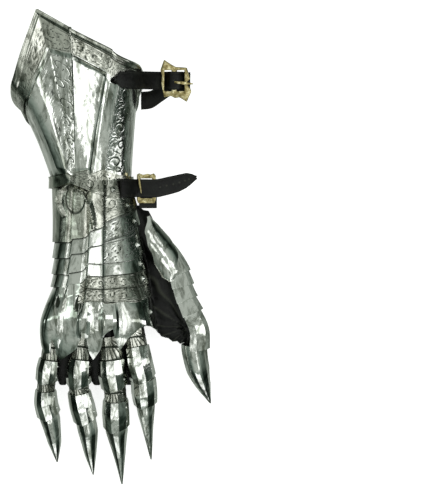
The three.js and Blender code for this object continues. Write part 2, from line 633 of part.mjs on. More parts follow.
// The thumb's plates lap along its outer side. The leaf plate lies over them at the root, each
// row with its own turn and spread in degrees.
const THUMB_TURNS = [
  { turn: 108, ridge: 0 }, { turn: 80, ridge: 0 }, { turn: 45, ridge: 0.6 },
  { turn: 10, ridge: 0.6 }, { turn: -25, ridge: 0 }, { turn: -70, ridge: 0 },
];
const THUMB_LAMES = [
  { from: -0.45, to: -0.26 },
  { from: -0.295, to: -0.19 },
  { from: -0.225, to: -0.105 },
  { from: -0.14, to: -0.025 },
  { from: -0.06, to: 0.175 },
];
const THUMB_LEAF = [
  { reach: -0.60, turn: 50, spread: 8 },
  { reach: -0.52, turn: 60, spread: 32 },
  { reach: -0.44, turn: 66, spread: 42 },
  { reach: -0.36, turn: 82, spread: 42 },
  { reach: -0.29, turn: 98, spread: 28 },
  { reach: -0.24, turn: 104, spread: 6 },
];
const LEAF_COLUMNS = [1, 0.45, 0, -0.45, -1];

THUMB_LAMES.forEach(({ from, to }, n) => {
  const last = n === THUMB_LAMES.length - 1;
  const grid = archGrid(DIGITS.thumb, between([from, to], last ? 4 : 2), THUMB_TURNS, (t) => (
    INNER + LAME_RISE * (last ? 0.6 : 1) * t
  ));
  addPiece(last ? "thumb_knuckle_plate" : `thumb_lame_${n + 1}`, shell(grid, PLATE), STEEL);
});
addPiece("thumb_leaf_plate", shell(THUMB_LEAF.map(({ reach, turn, spread }) => {
  const t = stationAt(DIGITS.thumb, reach);
  const radius = digitRadius(DIGITS.thumb, t) + INNER + LAME_RISE + PLATE + CLEARANCE;
  return LEAF_COLUMNS.map((share) => digitPoint(
    DIGITS.thumb, t, turn + share * spread, radius + (share === 0 ? FINGER_RIDGE / 2 : 0),
  ));
}), PLATE), STEEL);
addPiece("thumb_claw", claw(DIGITS.thumb, 0), STEEL);

// The glove. Its back follows the plates, and PALM gives its underside as shares of the local
// breadth and depth. inset is 0 for the outside and LEATHER for the cavity.
const PALM = [{ x: -0.26, z: 0.18 }, { x: 0, z: 0.14 }, { x: 0.26, z: 0.16 }];
const GLOVE_GAP = PLATE + CLEARANCE;
const PALM_STATIONS = [-0.08, 0, 0.1, 0.2, 0.33, 0.45, 0.58, 0.7, 0.79, 0.88, 0.935];
const WEB = [
  { x: 0.42, reach: -0.66, z: 0.42, half: 0.09, deep: 0.12 },
  { x: 0.58, reach: -0.36, z: 0.42, half: 0.15, deep: 0.135 },
  { x: 0.65, reach: -0.18, z: 0.42, half: 0.18, deep: 0.135 },
  { x: 0.68, reach: -0.03, z: 0.415, half: 0.195, deep: 0.125 },
  { x: 0.7, reach: 0.08, z: 0.40, half: 0.155, deep: 0.1 },
  { x: 0.74, reach: 0.14, z: 0.39, half: 0.06, deep: 0.05 },
];
const WEB_SIDES = 12;

function palmRing(y, inset) {
  const ring = [];
  const sunk = GLOVE_GAP + inset + (y > 0 ? FLUTE_HEIGHT / 2 : 0);
  for (let at = LAST_LINE; at >= 0; at--) ring.push(armPoint(at, y, -sunk, 0));
  const t = clamp(-y / (KNUCKLE_LINE * HAND_LENGTH), 0, 1);
  const breadth = lerp(WRIST_BREADTH, HAND_BREADTH, t);
  const depth = lerp(WRIST_DEPTH, HAND_DEPTH, t);
  for (const { x, z } of PALM) ring.push(lifted(x * breadth, y, z * depth, depth, -inset));
  return ring;
}

function palmBody(inset) {
  const mouth = GLOVE_SLEEVE + (inset > 0 ? LEATHER : 0);
  const ends = PALM_STATIONS.map((down) => -down * HAND_LENGTH);
  ends[ends.length - 1] += inset;
  const rings = [mouth, ...ends].map((y) => palmRing(y, inset));
  return skinned(rings, middleOf(rings[0]), middleOf(rings.at(-1)));
}

function stall(digit, inset) {
  const rings = between([digit.axis[0].reach, digit.claw], 6).map((reach) => {
    const t = stationAt(digit, reach);
    return ringOf(digit, t, digitRadius(digit, t) + SKIN - inset, 0);
  });
  const end = stationAt(digit, digit.claw + (CUP_DEPTH - 2 - inset) / FINGER_REACH);
  rings.push(ringOf(digit, end, (digitRadius(digit, end) + SKIN - inset) * 0.6, 0));
  return skinned(rings, middleOf(rings[0]), digit.curve.getPoint(end));
}

function thumbWeb(inset) {
  const rings = WEB.map(({ x, reach, z, half, deep }, row) => {
    const y = reachY(reach) + (row === WEB.length - 1 ? inset : 0);
    return Array.from({ length: WEB_SIDES }, (_, i) => {
      const turn = (2 * Math.PI * i) / WEB_SIDES;
      const out = Math.max(half * HAND_BREADTH - inset, 0.5);
      const up = Math.max(deep * HAND_DEPTH - inset, 0.5);
      return vec(x * HAND_BREADTH + out * Math.cos(turn), y, z * HAND_DEPTH + up * Math.sin(turn));
    });
  });
  return skinned(rings, middleOf(rings[0]), middleOf(rings.at(-1)));
}

const gloveBody = (inset) => unite([
  palmBody(inset), thumbWeb(inset), ...Object.values(DIGITS).map((digit) => stall(digit, inset)),
]);
addPiece("glove", toGeometry(gloveBody(0).subtract(gloveBody(LEATHER))), BLACK_LEATHER);

// A strap. rows run along it towards +X, and width is a share of STRAP_WIDTH.
function strap(rows) {
  return shell(rows.map(({ x, y, z, width = 1 }) => [-0.5, 0, 0.5].map((share) => (
    vec(x, y + share * width * STRAP_WIDTH, z)
  ))), STRAP_THICKNESS);
}

function plateOf(outline, windows, thickness) {
  const extrude = (points) => toSolid(new THREE.ExtrudeGeometry(
    new THREE.Shape(points.map(([x, y]) => new THREE.Vector2(x, y))),
    { depth: thickness, bevelEnabled: false },
  ));
  const cut = windows.reduce((solid, window) => solid.subtract(
    extrude(window).scale([1, 1, 3]).translate([0, 0, -thickness]),
  ), extrude(outline));
  return toGeometry(cut);
}

const rectangle = (x0, x1, y0, y1) => [[x0, y0], [x1, y0], [x1, y1], [x0, y1]];

// The cuff buckle stands out beyond the cuff's thumb side. Its outline is in shares of
// CUFF_BUCKLE_SIZE, and the strap runs under its first bar, over the second and under the third.
const CUFF_BUCKLE = { x: 0.645, y: 0.585, z: 0.475 };
const BUCKLE_OUTLINE = [
  { x: -0.6, y: 1.05 }, { x: -0.78, y: 0.53 }, { x: -0.71, y: 0.22 }, { x: -0.75, y: -0.16 },
  { x: -0.6, y: -0.84 }, { x: -0.25, y: -0.77 }, { x: -0.05, y: -0.88 }, { x: 0.17, y: -0.84 },
  { x: 0.54, y: -1.07 }, { x: 0.78, y: -0.54 }, { x: 0.71, y: -0.37 }, { x: 0.5, y: -0.12 },
  { x: 0.71, y: 0.08 }, { x: 0.55, y: 0.65 }, { x: -0.02, y: 0.69 }, { x: -0.28, y: 0.84 },
];
const WINDOW = 0.52;
const BARS = [
  { from: -0.78, to: -0.58, over: false },
  { from: -0.22, to: 0.05, over: true },
  { from: 0.42, to: 0.62, over: false },
];
const cuffBuckle = vec(
  CUFF_BUCKLE.x * CUFF_BREADTH, CUFF_BUCKLE.y * CUFF_LENGTH, CUFF_BUCKLE.z * CUFF_DEPTH,
);

function cuffBuckleFrame() {
  const size = CUFF_BUCKLE_SIZE;
  const half = Math.max(WINDOW * size, STRAP_WIDTH / 2 + CLEARANCE);
  const outline = BUCKLE_OUTLINE.map(({ x, y }) => [x * size, y * size]);
  const windows = [[0, 1], [1, 2]].map(([a, b]) => (
    rectangle(BARS[a].to * size, BARS[b].from * size, -half, half)
  ));
  return plateOf(outline, windows, BUCKLE_THICKNESS).translate(...cuffBuckle.toArray());
}

// The cuff strap starts in a leaf-shaped end on the border, leaves it at the cuff's edge and
// weaves through the buckle.
const STRAP_LEAF = [
  { x: 0.165, width: 0.08 }, { x: 0.185, width: 0.55 }, { x: 0.215, width: 0.95 },
  { x: 0.24, width: 0.8 }, { x: 0.265, width: 1 }, { x: 0.3, width: 1 }, { x: 0.335, width: 1 },
];
const STRAP_SEAT = PLATE + CLEARANCE + ROLL_HEIGHT + CLEARANCE + STRAP_THICKNESS;
const STRAP_BEND = { x: 0.43, z: 0.57 };

function cuffStrap() {
  const { y } = cuffBuckle;
  const rows = STRAP_LEAF.map(({ x, width }) => {
    const point = surfaceAt(x * CUFF_BREADTH, y, STRAP_SEAT);
    return { x: point.x, y, z: point.z, width };
  });
  rows.push({ x: STRAP_BEND.x * CUFF_BREADTH, y, z: STRAP_BEND.z * CUFF_DEPTH });
  for (const { from, to, over } of BARS) {
    const under = cuffBuckle.z - CLEARANCE;
    const z = over ? cuffBuckle.z + BUCKLE_THICKNESS + CLEARANCE + STRAP_THICKNESS : under;
    const past = over ? STRAP_THICKNESS / 2 : 0;
    rows.push({ x: cuffBuckle.x + from * CUFF_BUCKLE_SIZE - past, y, z });
    rows.push({ x: cuffBuckle.x + to * CUFF_BUCKLE_SIZE + past, y, z });
  }
  return strap(rows);
}

// The strap that comes back from the buckle to the cuff's side, under the first.
const RETURN_PATH = [
  { x: 0.36, y: -0.16, z: 0.27 }, { x: 0.44, y: -0.15, z: 0.31 }, { x: 0.52, y: -0.1, z: 0.36 },
  { x: 0.6, y: -0.05, z: 0.395 }, { x: 0.7, y: -0.02, z: 0.41 }, { x: 0.76, y: 0, z: 0.415 },
];

function cuffStrapReturn() {
  return strap(RETURN_PATH.map(({ x, y, z }) => ({
    x: x * CUFF_BREADTH, y: cuffBuckle.y + y * CUFF_BREADTH, z: z * CUFF_DEPTH,
  })));
}

// A buckle prong: a tapering bar from one point to another.
function prong(from, to, width) {
  const along = to.clone().sub(from).normalize();
  const up = vec(0, 0, 1).addScaledVector(along, -along.z).normalize();
  const side = up.clone().cross(along);
  const rings = [[from, 0.7], [from.clone().lerp(to, 0.5), 1], [to, 0.35]].map(([middle, share]) => (
    [[1, 0], [1, 1], [-1, 1], [-1, 0]].map(([across, rise]) => middle.clone()
      .addScaledVector(side, (across * share * width) / 2)
      .addScaledVector(up, rise * PRONG_THICKNESS))
  ));
  return skinned(rings, middleOf(rings[0]), middleOf(rings[2]));
}

const strapTop = cuffBuckle.z + BUCKLE_THICKNESS + CLEARANCE + STRAP_THICKNESS;
addPiece("cuff_strap", cuffStrap(), BLACK_LEATHER);
addPiece("cuff_strap_return", cuffStrapReturn(), BLACK_LEATHER);
addPiece("cuff_buckle", cuffBuckleFrame(), BRASS);
addPiece("cuff_buckle_prong", prong(
  vec(cuffBuckle.x - 0.1 * CUFF_BUCKLE_SIZE, cuffBuckle.y - 0.08 * CUFF_BUCKLE_SIZE, strapTop + 2 * CLEARANCE),
  vec(cuffBuckle.x + 0.85 * CUFF_BUCKLE_SIZE, cuffBuckle.y - 0.17 * CUFF_BUCKLE_SIZE,
    cuffBuckle.z + BUCKLE_THICKNESS + CLEARANCE),
  PRONG_THICKNESS * 1.6,
), BRASS);

// The wrist strap: seated on the wrist lame, out through its buckle to a pointed end. x and y
// are shares of WRIST_BREADTH, z of WRIST_DEPTH.
const WRIST_STRAP_SEAT = PLATE + 4 * CLEARANCE + LAME_RISE / 2 + STRAP_THICKNESS;
const WRIST_STRAP = { seats: [0.33, 0.39], y: -0.105 };
const WRIST_STRAP_PATH = [
  { x: 0.54, y: 0, z: 0.7, width: 1 }, { x: 0.6, y: 0, z: 0.695, width: 1 },
  { x: 0.78, y: 0, z: 0.69, width: 1.02 },
  { x: 0.92, y: 0.03, z: 0.66, width: 1.02 }, { x: 1.06, y: 0.065, z: 0.635, width: 0.98 },
  { x: 1.16, y: 0.1, z: 0.62, width: 0.85 }, { x: 1.24, y: 0.125, z: 0.61, width: 0.5 },
  { x: 1.29, y: 0.14, z: 0.605, width: 0.06 },
];
const WRIST_BUCKLE = { x: 0.645, z: 0.604 };

// The leather tab that shows below the wrist buckle lies under its frame.
const WRIST_TAB = { drop: 0.138, width: 1.03 };
const WRIST_TAB_ROWS = [
  { x: 0.55, z: 0.597 }, { x: 0.62, z: 0.597 }, { x: 0.7, z: 0.595 }, { x: 0.78, z: 0.59 },
];

function wristTab() {
  return strap(WRIST_TAB_ROWS.map(({ x, z }) => ({
    x: x * WRIST_BREADTH, y: (WRIST_STRAP.y - WRIST_TAB.drop) * WRIST_BREADTH, z: z * WRIST_DEPTH,
    width: WRIST_TAB.width,
  })));
}

function wristStrap() {
  const y = WRIST_STRAP.y * WRIST_BREADTH;
  const rows = WRIST_STRAP.seats.map((share) => {
    const point = surfaceAt(share * WRIST_BREADTH, y, WRIST_STRAP_SEAT);
    return { x: point.x, y, z: point.z };
  });
  for (const row of WRIST_STRAP_PATH) {
    rows.push({
      x: row.x * WRIST_BREADTH, y: y + row.y * WRIST_BREADTH, z: row.z * WRIST_DEPTH,
      width: row.width,
    });
  }
  return strap(rows);
}

function wristBuckleFrame() {
  const size = WRIST_BUCKLE_SIZE;
  const outline = [
    [-0.54, -1], [0.54, -1], [0.63, -0.8], [0.63, 0.84], [0.5, 1], [0.28, 0.92], [0.05, 0.97],
    [-0.2, 0.9], [-0.48, 1], [-0.63, 0.92], [-0.63, -0.8],
  ].map(([x, y]) => [x * size, y * size]);
  const window = rectangle(-0.38 * size, 0.38 * size, -0.66 * size, 0.66 * size);
  return plateOf(outline, [window], BUCKLE_THICKNESS).translate(
    WRIST_BUCKLE.x * WRIST_BREADTH, WRIST_STRAP.y * WRIST_BREADTH, WRIST_BUCKLE.z * WRIST_DEPTH,
  );
}

const wristStrapTop = WRIST_STRAP_PATH[0].z * WRIST_DEPTH + CLEARANCE;
addPiece("wrist_strap", wristStrap(), BLACK_LEATHER);
addPiece("wrist_strap_tab", wristTab(), BLACK_LEATHER);
addPiece("wrist_buckle", wristBuckleFrame(), BRASS);
addPiece("wrist_buckle_prong", prong(
  vec((WRIST_BUCKLE.x - 0.1) * WRIST_BREADTH, (WRIST_STRAP.y + 0.16) * WRIST_BREADTH, wristStrapTop),
  vec((WRIST_BUCKLE.x - 0.065) * WRIST_BREADTH, (WRIST_STRAP.y - 0.07) * WRIST_BREADTH, wristStrapTop),
  PRONG_THICKNESS,
), BRASS);

// A rivet's dome on a face that pointAt(place, t, extra) gives.
function rivet(name, pointAt, place, t) {
  const seat = pointAt(place, t, CLEARANCE);
  const across = pointAt(place + 0.2, t, CLEARANCE).sub(pointAt(place - 0.2, t, CLEARANCE));
  const along = pointAt(place, t + 0.05, CLEARANCE).sub(pointAt(place, t - 0.05, CLEARANCE));
  const normal = along.cross(across).normalize();
  const side = vec(0, 1, 0).cross(normal).normalize();
  const up = normal.clone().cross(side);
  const ring = (radius, height) => Array.from({ length: 10 }, (_, i) => {
    const turn = (i / 10) * 2 * Math.PI;
    return seat.clone().addScaledVector(normal, height)
      .addScaledVector(side, radius * Math.cos(turn)).addScaledVector(up, radius * Math.sin(turn));
  });
  const rings = [ring(RIVET_RADIUS, 0), ring(RIVET_RADIUS * 0.95, RIVET_HEIGHT * 0.3),
    ring(RIVET_RADIUS * 0.6, RIVET_HEIGHT * 0.85)];
  addPiece(name, skinned(rings, seat, seat.clone().addScaledVector(normal, RIVET_HEIGHT)), STEEL);
}

rivet("cuff_rivet", (at, t, extra) => cuffPoint(at, (1 - t) * 2 * RELIEF_LENGTH, extra), 13.1, 0.57);
rivet("wrist_lame_rivet", wristLamePoint, 12.5, 0.68);
const onPlate = (number) => (at, t, extra) => handPlatePoint(number, at, t, extra);
rivet("boss_plate_rivet", onPlate(0), 13.8, 0.75);
rivet("hand_lame_1_rivet", onPlate(1), 14.4, 0.66);
rivet("hand_lame_2_rivet", onPlate(2), 14.4, 0.66);
rivet("hand_lame_3_rivet", onPlate(3), 14.4, 0.66);
rivet("hand_lame_4_rivet", onPlate(4), 14.4, 0.66);
rivet("knuckle_wing_rivet", knucklePoint, 24.5, 0.55);

// Stand it on the floor with the origin under the middle of its box.
gauntlet.updateMatrixWorld(true);
const box = new THREE.Box3().setFromObject(gauntlet, true);
for (const mesh of gauntlet.children) {
  mesh.geometry.translate(-(box.min.x + box.max.x) / 2, -(box.min.y + box.max.y) / 2, -box.min.z);
}

export default gauntlet;
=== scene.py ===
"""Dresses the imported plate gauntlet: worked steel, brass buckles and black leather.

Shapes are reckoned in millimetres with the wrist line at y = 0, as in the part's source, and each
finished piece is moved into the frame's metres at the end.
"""

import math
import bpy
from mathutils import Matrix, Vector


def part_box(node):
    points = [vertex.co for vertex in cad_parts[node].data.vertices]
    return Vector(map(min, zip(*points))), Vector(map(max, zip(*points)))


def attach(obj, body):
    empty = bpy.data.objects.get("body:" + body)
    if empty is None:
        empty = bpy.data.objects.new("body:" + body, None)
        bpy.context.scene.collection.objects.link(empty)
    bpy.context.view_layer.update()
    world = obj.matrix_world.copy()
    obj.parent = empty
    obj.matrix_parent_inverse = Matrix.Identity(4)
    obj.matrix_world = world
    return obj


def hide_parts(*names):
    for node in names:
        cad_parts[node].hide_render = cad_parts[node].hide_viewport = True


bl_info = {
    "name": "Fluted Plate Gauntlet",
    "version": (1, 0, 0),
    "blender": (4, 5, 0),
    "location": "View3D > Sidebar > Gauntlet",
    "description": "Builds the engraved steel, buckles and leather of a right-hand gauntlet",
    "category": "Add Mesh",
}

import bmesh
import bpy
from bpy.props import FloatProperty, FloatVectorProperty, PointerProperty
from mathutils import Matrix, Vector, noise

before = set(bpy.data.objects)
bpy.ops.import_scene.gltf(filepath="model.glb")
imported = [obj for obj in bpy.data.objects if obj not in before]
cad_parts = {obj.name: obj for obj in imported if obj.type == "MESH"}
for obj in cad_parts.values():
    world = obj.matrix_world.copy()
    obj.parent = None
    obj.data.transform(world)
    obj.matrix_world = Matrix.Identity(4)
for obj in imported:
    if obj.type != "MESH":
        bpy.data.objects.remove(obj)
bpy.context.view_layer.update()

MM = 0.001
CUFF_LENGTH, CUFF_BREADTH, CUFF_DEPTH = 170, 124, 96
WRIST_BREADTH, WRIST_DEPTH = 78, 68
HAND_LENGTH, HAND_BREADTH, HAND_DEPTH = 155, 104, 68
FINGER_REACH, FINGER_BREADTH = 166, 26
PLATE, LEATHER, STRAP_THICKNESS = 1.2, 1.8, 2.4
CLEARANCE, LAME_RISE = 0.5, 3.0
FLUTE_HEIGHT, TENDON_HEIGHT, KNUCKLE_HEIGHT, FINGER_RIDGE = 4.5, 2.2, 5, 2.2
BORDER_WIDTH, ROLL_WIDTH, ROLL_HEIGHT = 20, 6, 3
WRIST_LAME_REACH, HOOD_HEIGHT = 17, 6
RIVET_RADIUS, RIVET_HEIGHT = 2.9, 1.8
STRAP_WIDTH, CUFF_BUCKLE_SIZE, BUCKLE_THICKNESS = 18, 20, 2.6
CUP_DEPTH, GLOVE_SLEEVE = 13, 38

# The lines of the gauntlet from the little-finger edge over the back to the thumb edge.
LINE_COLUMNS = (
    "wrist_x", "wrist_z", "rim_x", "rim_z", "rim_y", "flute", "mitre", "knuckle_x", "knuckle_z",
    "tendon",
)
LINES = [
    (-0.44, 0.12, -0.50, 0.03, 0.38, 0, 1, -0.38, 0.30, 0),
    (-0.57, 0.42, -0.635, 0.30, 0.465, 0, 1, -0.44, 0.50, 0),
    (-0.535, 0.66, -0.655, 0.60, 0.55, 0, 1, -0.445, 0.72, 0),
    (-0.42, 0.80, -0.63, 0.73, 0.62, 0.9, 1.05, -0.415, 0.82, 1),
    (-0.34, 0.88, -0.57, 0.84, 0.765, 0.7, 1.3, -0.34, 0.88, 1),
    (-0.295, 0.915, -0.455, 0.95, 1, -0.2, 1.9, -0.325, 0.895, 0),
    (-0.26, 0.93, -0.205, 0.98, 0.895, -0.4, 1.25, -0.305, 0.91, 1),
    (-0.235, 0.94, -0.175, 0.985, 0.88, 0.95, 1.25, -0.28, 0.925, 1),
    (-0.11, 0.97, 0.10, 0.95, 0.775, 1, 1.1, -0.17, 0.97, 1),
    (-0.06, 0.975, 0.13, 0.935, 0.755, 0.1, 1.1, -0.14, 0.975, 0),
    (-0.03, 0.975, 0.165, 0.915, 0.735, 0.3, 1.1, -0.10, 0.985, 1),
    (0.08, 0.96, 0.215, 0.88, 0.715, 0, 1.05, 0.04, 0.99, 1),
    (0.13, 0.935, 0.26, 0.83, 0.7, 0, 1, 0.09, 0.985, 0),
    (0.26, 0.86, 0.305, 0.74, 0.685, 0, 1, 0.28, 0.93, 0.5),
    (0.36, 0.76, 0.335, 0.62, 0.665, 0, 1, 0.44, 0.81, 0),
    (0.44, 0.60, 0.345, 0.46, 0.62, 0, 1, 0.55, 0.67, 0),
    (0.445, 0.38, 0.335, 0.26, 0.55, 0, 1, 0.59, 0.50, 0),
    (0.40, 0.16, 0.28, 0.03, 0.465, 0, 1, 0.55, 0.34, 0),
]
LAST_LINE = len(LINES) - 1
SECTION_CENTRE, CUFF_FLARE = 0.4, 0.3
RELIEF_LENGTH, RELIEF_END = 12, 5
HAND_WAIST, KNUCKLE_LINE, FALL_START, FALL = 0.1, 0.9, 0.88, 3
PEAK_LINE = 5
CRISP = {LINE_COLUMNS.index(key) for key in ("flute", "mitre", "tendon")}


def lerp(a, b, share):
    return a + (b - a) * share


def blend(row, other, share):
    """The values between two rows of a table."""
    return [lerp(a, b, share) for a, b in zip(row, other)]


def clamp(value, low=0.0, high=1.0):
    return max(low, min(high, value))


def spaced(start, end, steps):
    return [lerp(start, end, i / steps) for i in range(steps + 1)]


def knots(values, steps):
    """The values with steps equal parts between each two."""
    found = []
    for a, b in zip(values, values[1:]):
        found += spaced(a, b, steps)[:-1]
    return found + [values[-1]]


def between_rows(rows, place):
    """The two rows beside a place, and its share of the way."""
    first = int(clamp(math.floor(place), 0, len(rows) - 2))
    return first, place - first


def line_value(at, key):
    """A column of the lines at any place: ridges stay crisp, and the rest is a smooth curve."""
    column = LINE_COLUMNS.index(key)
    first, share = between_rows(LINES, at)
    b, c = LINES[first][column], LINES[first + 1][column]
    if column in CRISP:
        return lerp(b, c, share)
    a = LINES[first - 1][column] if first > 0 else 2 * b - c
    d = LINES[first + 2][column] if first + 2 <= LAST_LINE else 2 * c - b
    if key.startswith("rim") and first in (PEAK_LINE - 1, PEAK_LINE):
        a, d = (2 * b - c, d) if first == PEAK_LINE else (a, 2 * c - b)
    m, n = (c - a) / 2, (d - b) / 2
    s2, s3 = share * share, share ** 3
    return (2 * s3 - 3 * s2 + 1) * b + (s3 - 2 * s2 + share) * m + (3 * s2 - 2 * s3) * c + (s3 - s2) * n


def lifted(x, y, z, depth, lift):
    outwards = Vector((x, 0, z - depth * SECTION_CENTRE)).normalized()
    return Vector((x, y, z)) + outwards * lift


def rim_at(at):
    return line_value(at, "rim_y") * CUFF_LENGTH


def border_at(at):
    return rim_at(at) - BORDER_WIDTH * line_value(at, "mitre")


def cuff_point(at, y, lift, relief=1):
    s = y / rim_at(at)
    flared = s * (1 - CUFF_FLARE * (1 - s))
    x = lerp(line_value(at, "wrist_x") * WRIST_BREADTH, line_value(at, "rim_x") * CUFF_BREADTH, flared)
    z = lerp(line_value(at, "wrist_z") * WRIST_DEPTH, line_value(at, "rim_z") * CUFF_DEPTH, flared)
    rise = clamp(y / RELIEF_LENGTH) * clamp((border_at(at) - y - 1) / RELIEF_END)
    flute = relief * line_value(at, "flute") * FLUTE_HEIGHT * rise
    return lifted(x, y, z, lerp(WRIST_DEPTH, CUFF_DEPTH, flared), lift + flute)


def hand_point(at, down, lift, relief=1):
    t = down / KNUCKLE_LINE
    x = lerp(line_value(at, "wrist_x") * WRIST_BREADTH, line_value(at, "knuckle_x") * HAND_BREADTH, t)
    x *= 1 - (HAND_WAIST * math.sin(math.pi * clamp(t)) if x < 0 else 0)
    z = lerp(line_value(at, "wrist_z") * WRIST_DEPTH, line_value(at, "knuckle_z") * HAND_DEPTH, t)
    fall = FALL * HAND_DEPTH * max(0, down - FALL_START) ** 2
    rise = clamp(down * HAND_LENGTH / RELIEF_LENGTH)
    tendon = relief * line_value(at, "tendon") * TENDON_HEIGHT * rise
    point = lifted(x, -down * HAND_LENGTH, z, lerp(WRIST_DEPTH, HAND_DEPTH, t), lift + tendon)
    point.z -= fall
    return point


def arm_point(at, y, lift, relief=1):
    return cuff_point(at, y, lift, relief) if y > 0 else hand_point(at, -y / HAND_LENGTH, lift, relief)


def surface_at(x, y, lift):
    """The outer face above x, at y, on the back of the arm."""
    at = 2.0
    while at < LAST_LINE:
        here, there = arm_point(at, y, lift), arm_point(at + 0.25, y, lift)
        if here.x <= x <= there.x:
            return here.lerp(there, (x - here.x) / (there.x - here.x))
        at += 0.25
    return arm_point(LAST_LINE - 2, y, lift)


# The frame's place for the source's zero: the wrist buckle's box gives it.
WRIST_BUCKLE = {"x": 0.645, "z": 0.604}
WRIST_STRAP_Y = -0.105
_low, _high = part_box("wrist_buckle")
SHIFT = Vector((
    (_low.x + _high.x) / 2 - WRIST_BUCKLE["x"] * WRIST_BREADTH * MM,
    (_low.y + _high.y) / 2 - WRIST_STRAP_Y * WRIST_BREADTH * MM,
    _low.z - WRIST_BUCKLE["z"] * WRIST_DEPTH * MM,
))
INTO_FRAME = Matrix.Translation(SHIFT) @ Matrix.Scale(MM, 4)


# Materials.
def srgb(value):
    """A hex colour as linear red, green, blue and alpha."""
    parts = [((value >> shift) & 255) / 255 for shift in (16, 8, 0)]
    return (*[p / 12.92 if p <= 0.04045 else ((p + 0.055) / 1.055) ** 2.4 for p in parts], 1)


def add_node(tree, kind, inputs=None, **settings):
    """A node with its settings. An input is a value, or an output socket to link."""
    made = tree.nodes.new("ShaderNode" + kind)
    for key, value in settings.items():
        setattr(made, key, value)
    for key, value in (inputs or {}).items():
        if isinstance(value, bpy.types.NodeSocket):
            tree.links.new(value, made.inputs[key])
        else:
            made.inputs[key].default_value = value
    return made


def per_mm(size):
    """The scale of a pattern whose features are this many millimetres across."""
    return 1 / (size * MM)


def blank(name):
    material = bpy.data.materials.new(name)
    material.use_nodes = True
    tree = material.node_tree
    tree.nodes.clear()
    shader = add_node(tree, "BsdfPrincipled")
    output = add_node(tree, "OutputMaterial")
    tree.links.new(shader.outputs[0], output.inputs[0])
    return material, tree, shader


def ramp(tree, factor, stops):
    """Shares to colours, or to greys where a stop is a number."""
    made = add_node(tree, "ValToRGB", {"Fac": factor})
    while len(made.color_ramp.elements) < len(stops):
        made.color_ramp.elements.new(0.5)
    for element, (place, value) in zip(made.color_ramp.elements, stops):
        element.position = place
        element.color = value if isinstance(value, tuple) else (value, value, value, 1)
    return made.outputs[0]


def clouds(tree, place, size, detail, **inputs):
    """Soft noise in clouds of this many millimetres."""
    inputs = {key.capitalize(): value for key, value in inputs.items()}
    return add_node(tree, "TexNoise", {
        "Vector": place, "Scale": per_mm(size), "Detail": detail, **inputs,
    }).outputs[0]


def stretched(tree, place, **settings):
    return add_node(tree, "Mapping", {"Vector": place, **settings}).outputs[0]


def spread_over(tree, value, low, high):
    return add_node(tree, "MapRange", {"Value": value, "To Min": low, "To Max": high}).outputs[0]


def bump(tree, height, strength, distance, **normal):
    return add_node(tree, "Bump", {
        "Height": height, "Strength": strength, "Distance": distance * MM, **normal,
    }).outputs[0]


# Each vertex's share of a cut, which also carries painted shade on steel and painted highlight on
# leather.
def cut_and_painted_light(tree):
    return add_node(tree, "Attribute", attribute_name="cut_and_painted_light").outputs["Fac"]


def object_place(tree):
    return add_node(tree, "TexCoord").outputs["Object"]


def coat(tree, shader, **sockets):
    """Links each value to the shader's input of that name."""
    for key, value in sockets.items():
        tree.links.new(value, shader.inputs[key.replace("_", " ")])


def steel(name, bright, shade, rough, dent=0.4):
    """Mild steel plate, planished and polished by hand: a mirror broken by shallow hammer waves, with
    grey-green tarnish in streaks and every cut left dark with oxidation. The same dark colour is
    painted as shade under the lapping plate edges, in the knuckle slots and round the oval field."""
    material, tree, shader = blank(name)
    place = object_place(tree)
    drawn = stretched(tree, place, Scale=(1, 0.3, 1))
    tarnish = clouds(tree, drawn, 11, 6, roughness=0.68, distortion=0.9)
    tint = ramp(tree, tarnish, [(0.38, srgb(shade)), (0.55, srgb(bright))])
    # Oxidation in the engraved cuts, and painted shade under lapping edges, in the knuckle slots and
    # round the oval.
    oxide_and_shade = ramp(tree, cut_and_painted_light(tree), [(0.12, 0.0), (0.75, 1.0)])
    color = add_node(tree, "Mix", {"Factor": oxide_and_shade, "A": tint, "B": srgb(0x3A4038)}, data_type="RGBA")
    gloss = spread_over(tree, clouds(tree, place, 5, 4), rough * 0.6, rough * 1.5)
    dulled = add_node(tree, "Mix", {"Factor": oxide_and_shade, "A": gloss, "B": 0.55}).outputs[0]
    waves = bump(tree, clouds(tree, place, 14, 2), dent, 1.2)
    brushed = stretched(tree, place, Scale=(1, 0.06, 1), Rotation=(0, 0, 0.5))
    fine = bump(tree, clouds(tree, brushed, 0.9, 3), 0.12, 0.1, Normal=waves)
    coat(tree, shader, Base_Color=color.outputs["Result"], Roughness=dulled, Normal=fine)
    shader.inputs["Metallic"].default_value = 1.0
    return material


def cast_brass(name):
    """Cast yellow brass, filed and rubbed: brown, mid and pale brass in random patches, glossier where
    paler.
    """
    material, tree, shader = blank(name)
    patches = clouds(tree, object_place(tree), 4, 5, roughness=0.65)
    color = ramp(tree, patches, [(0.32, srgb(0x4E4727)), (0.5, srgb(0xA39669)), (0.66, srgb(0xDDD6B0))])
    gloss, grain = spread_over(tree, patches, 0.38, 0.2), bump(tree, patches, 0.3, 0.4)
    coat(tree, shader, Base_Color=color, Roughness=gloss, Normal=grain)
    shader.inputs["Metallic"].default_value = 1.0
    return material


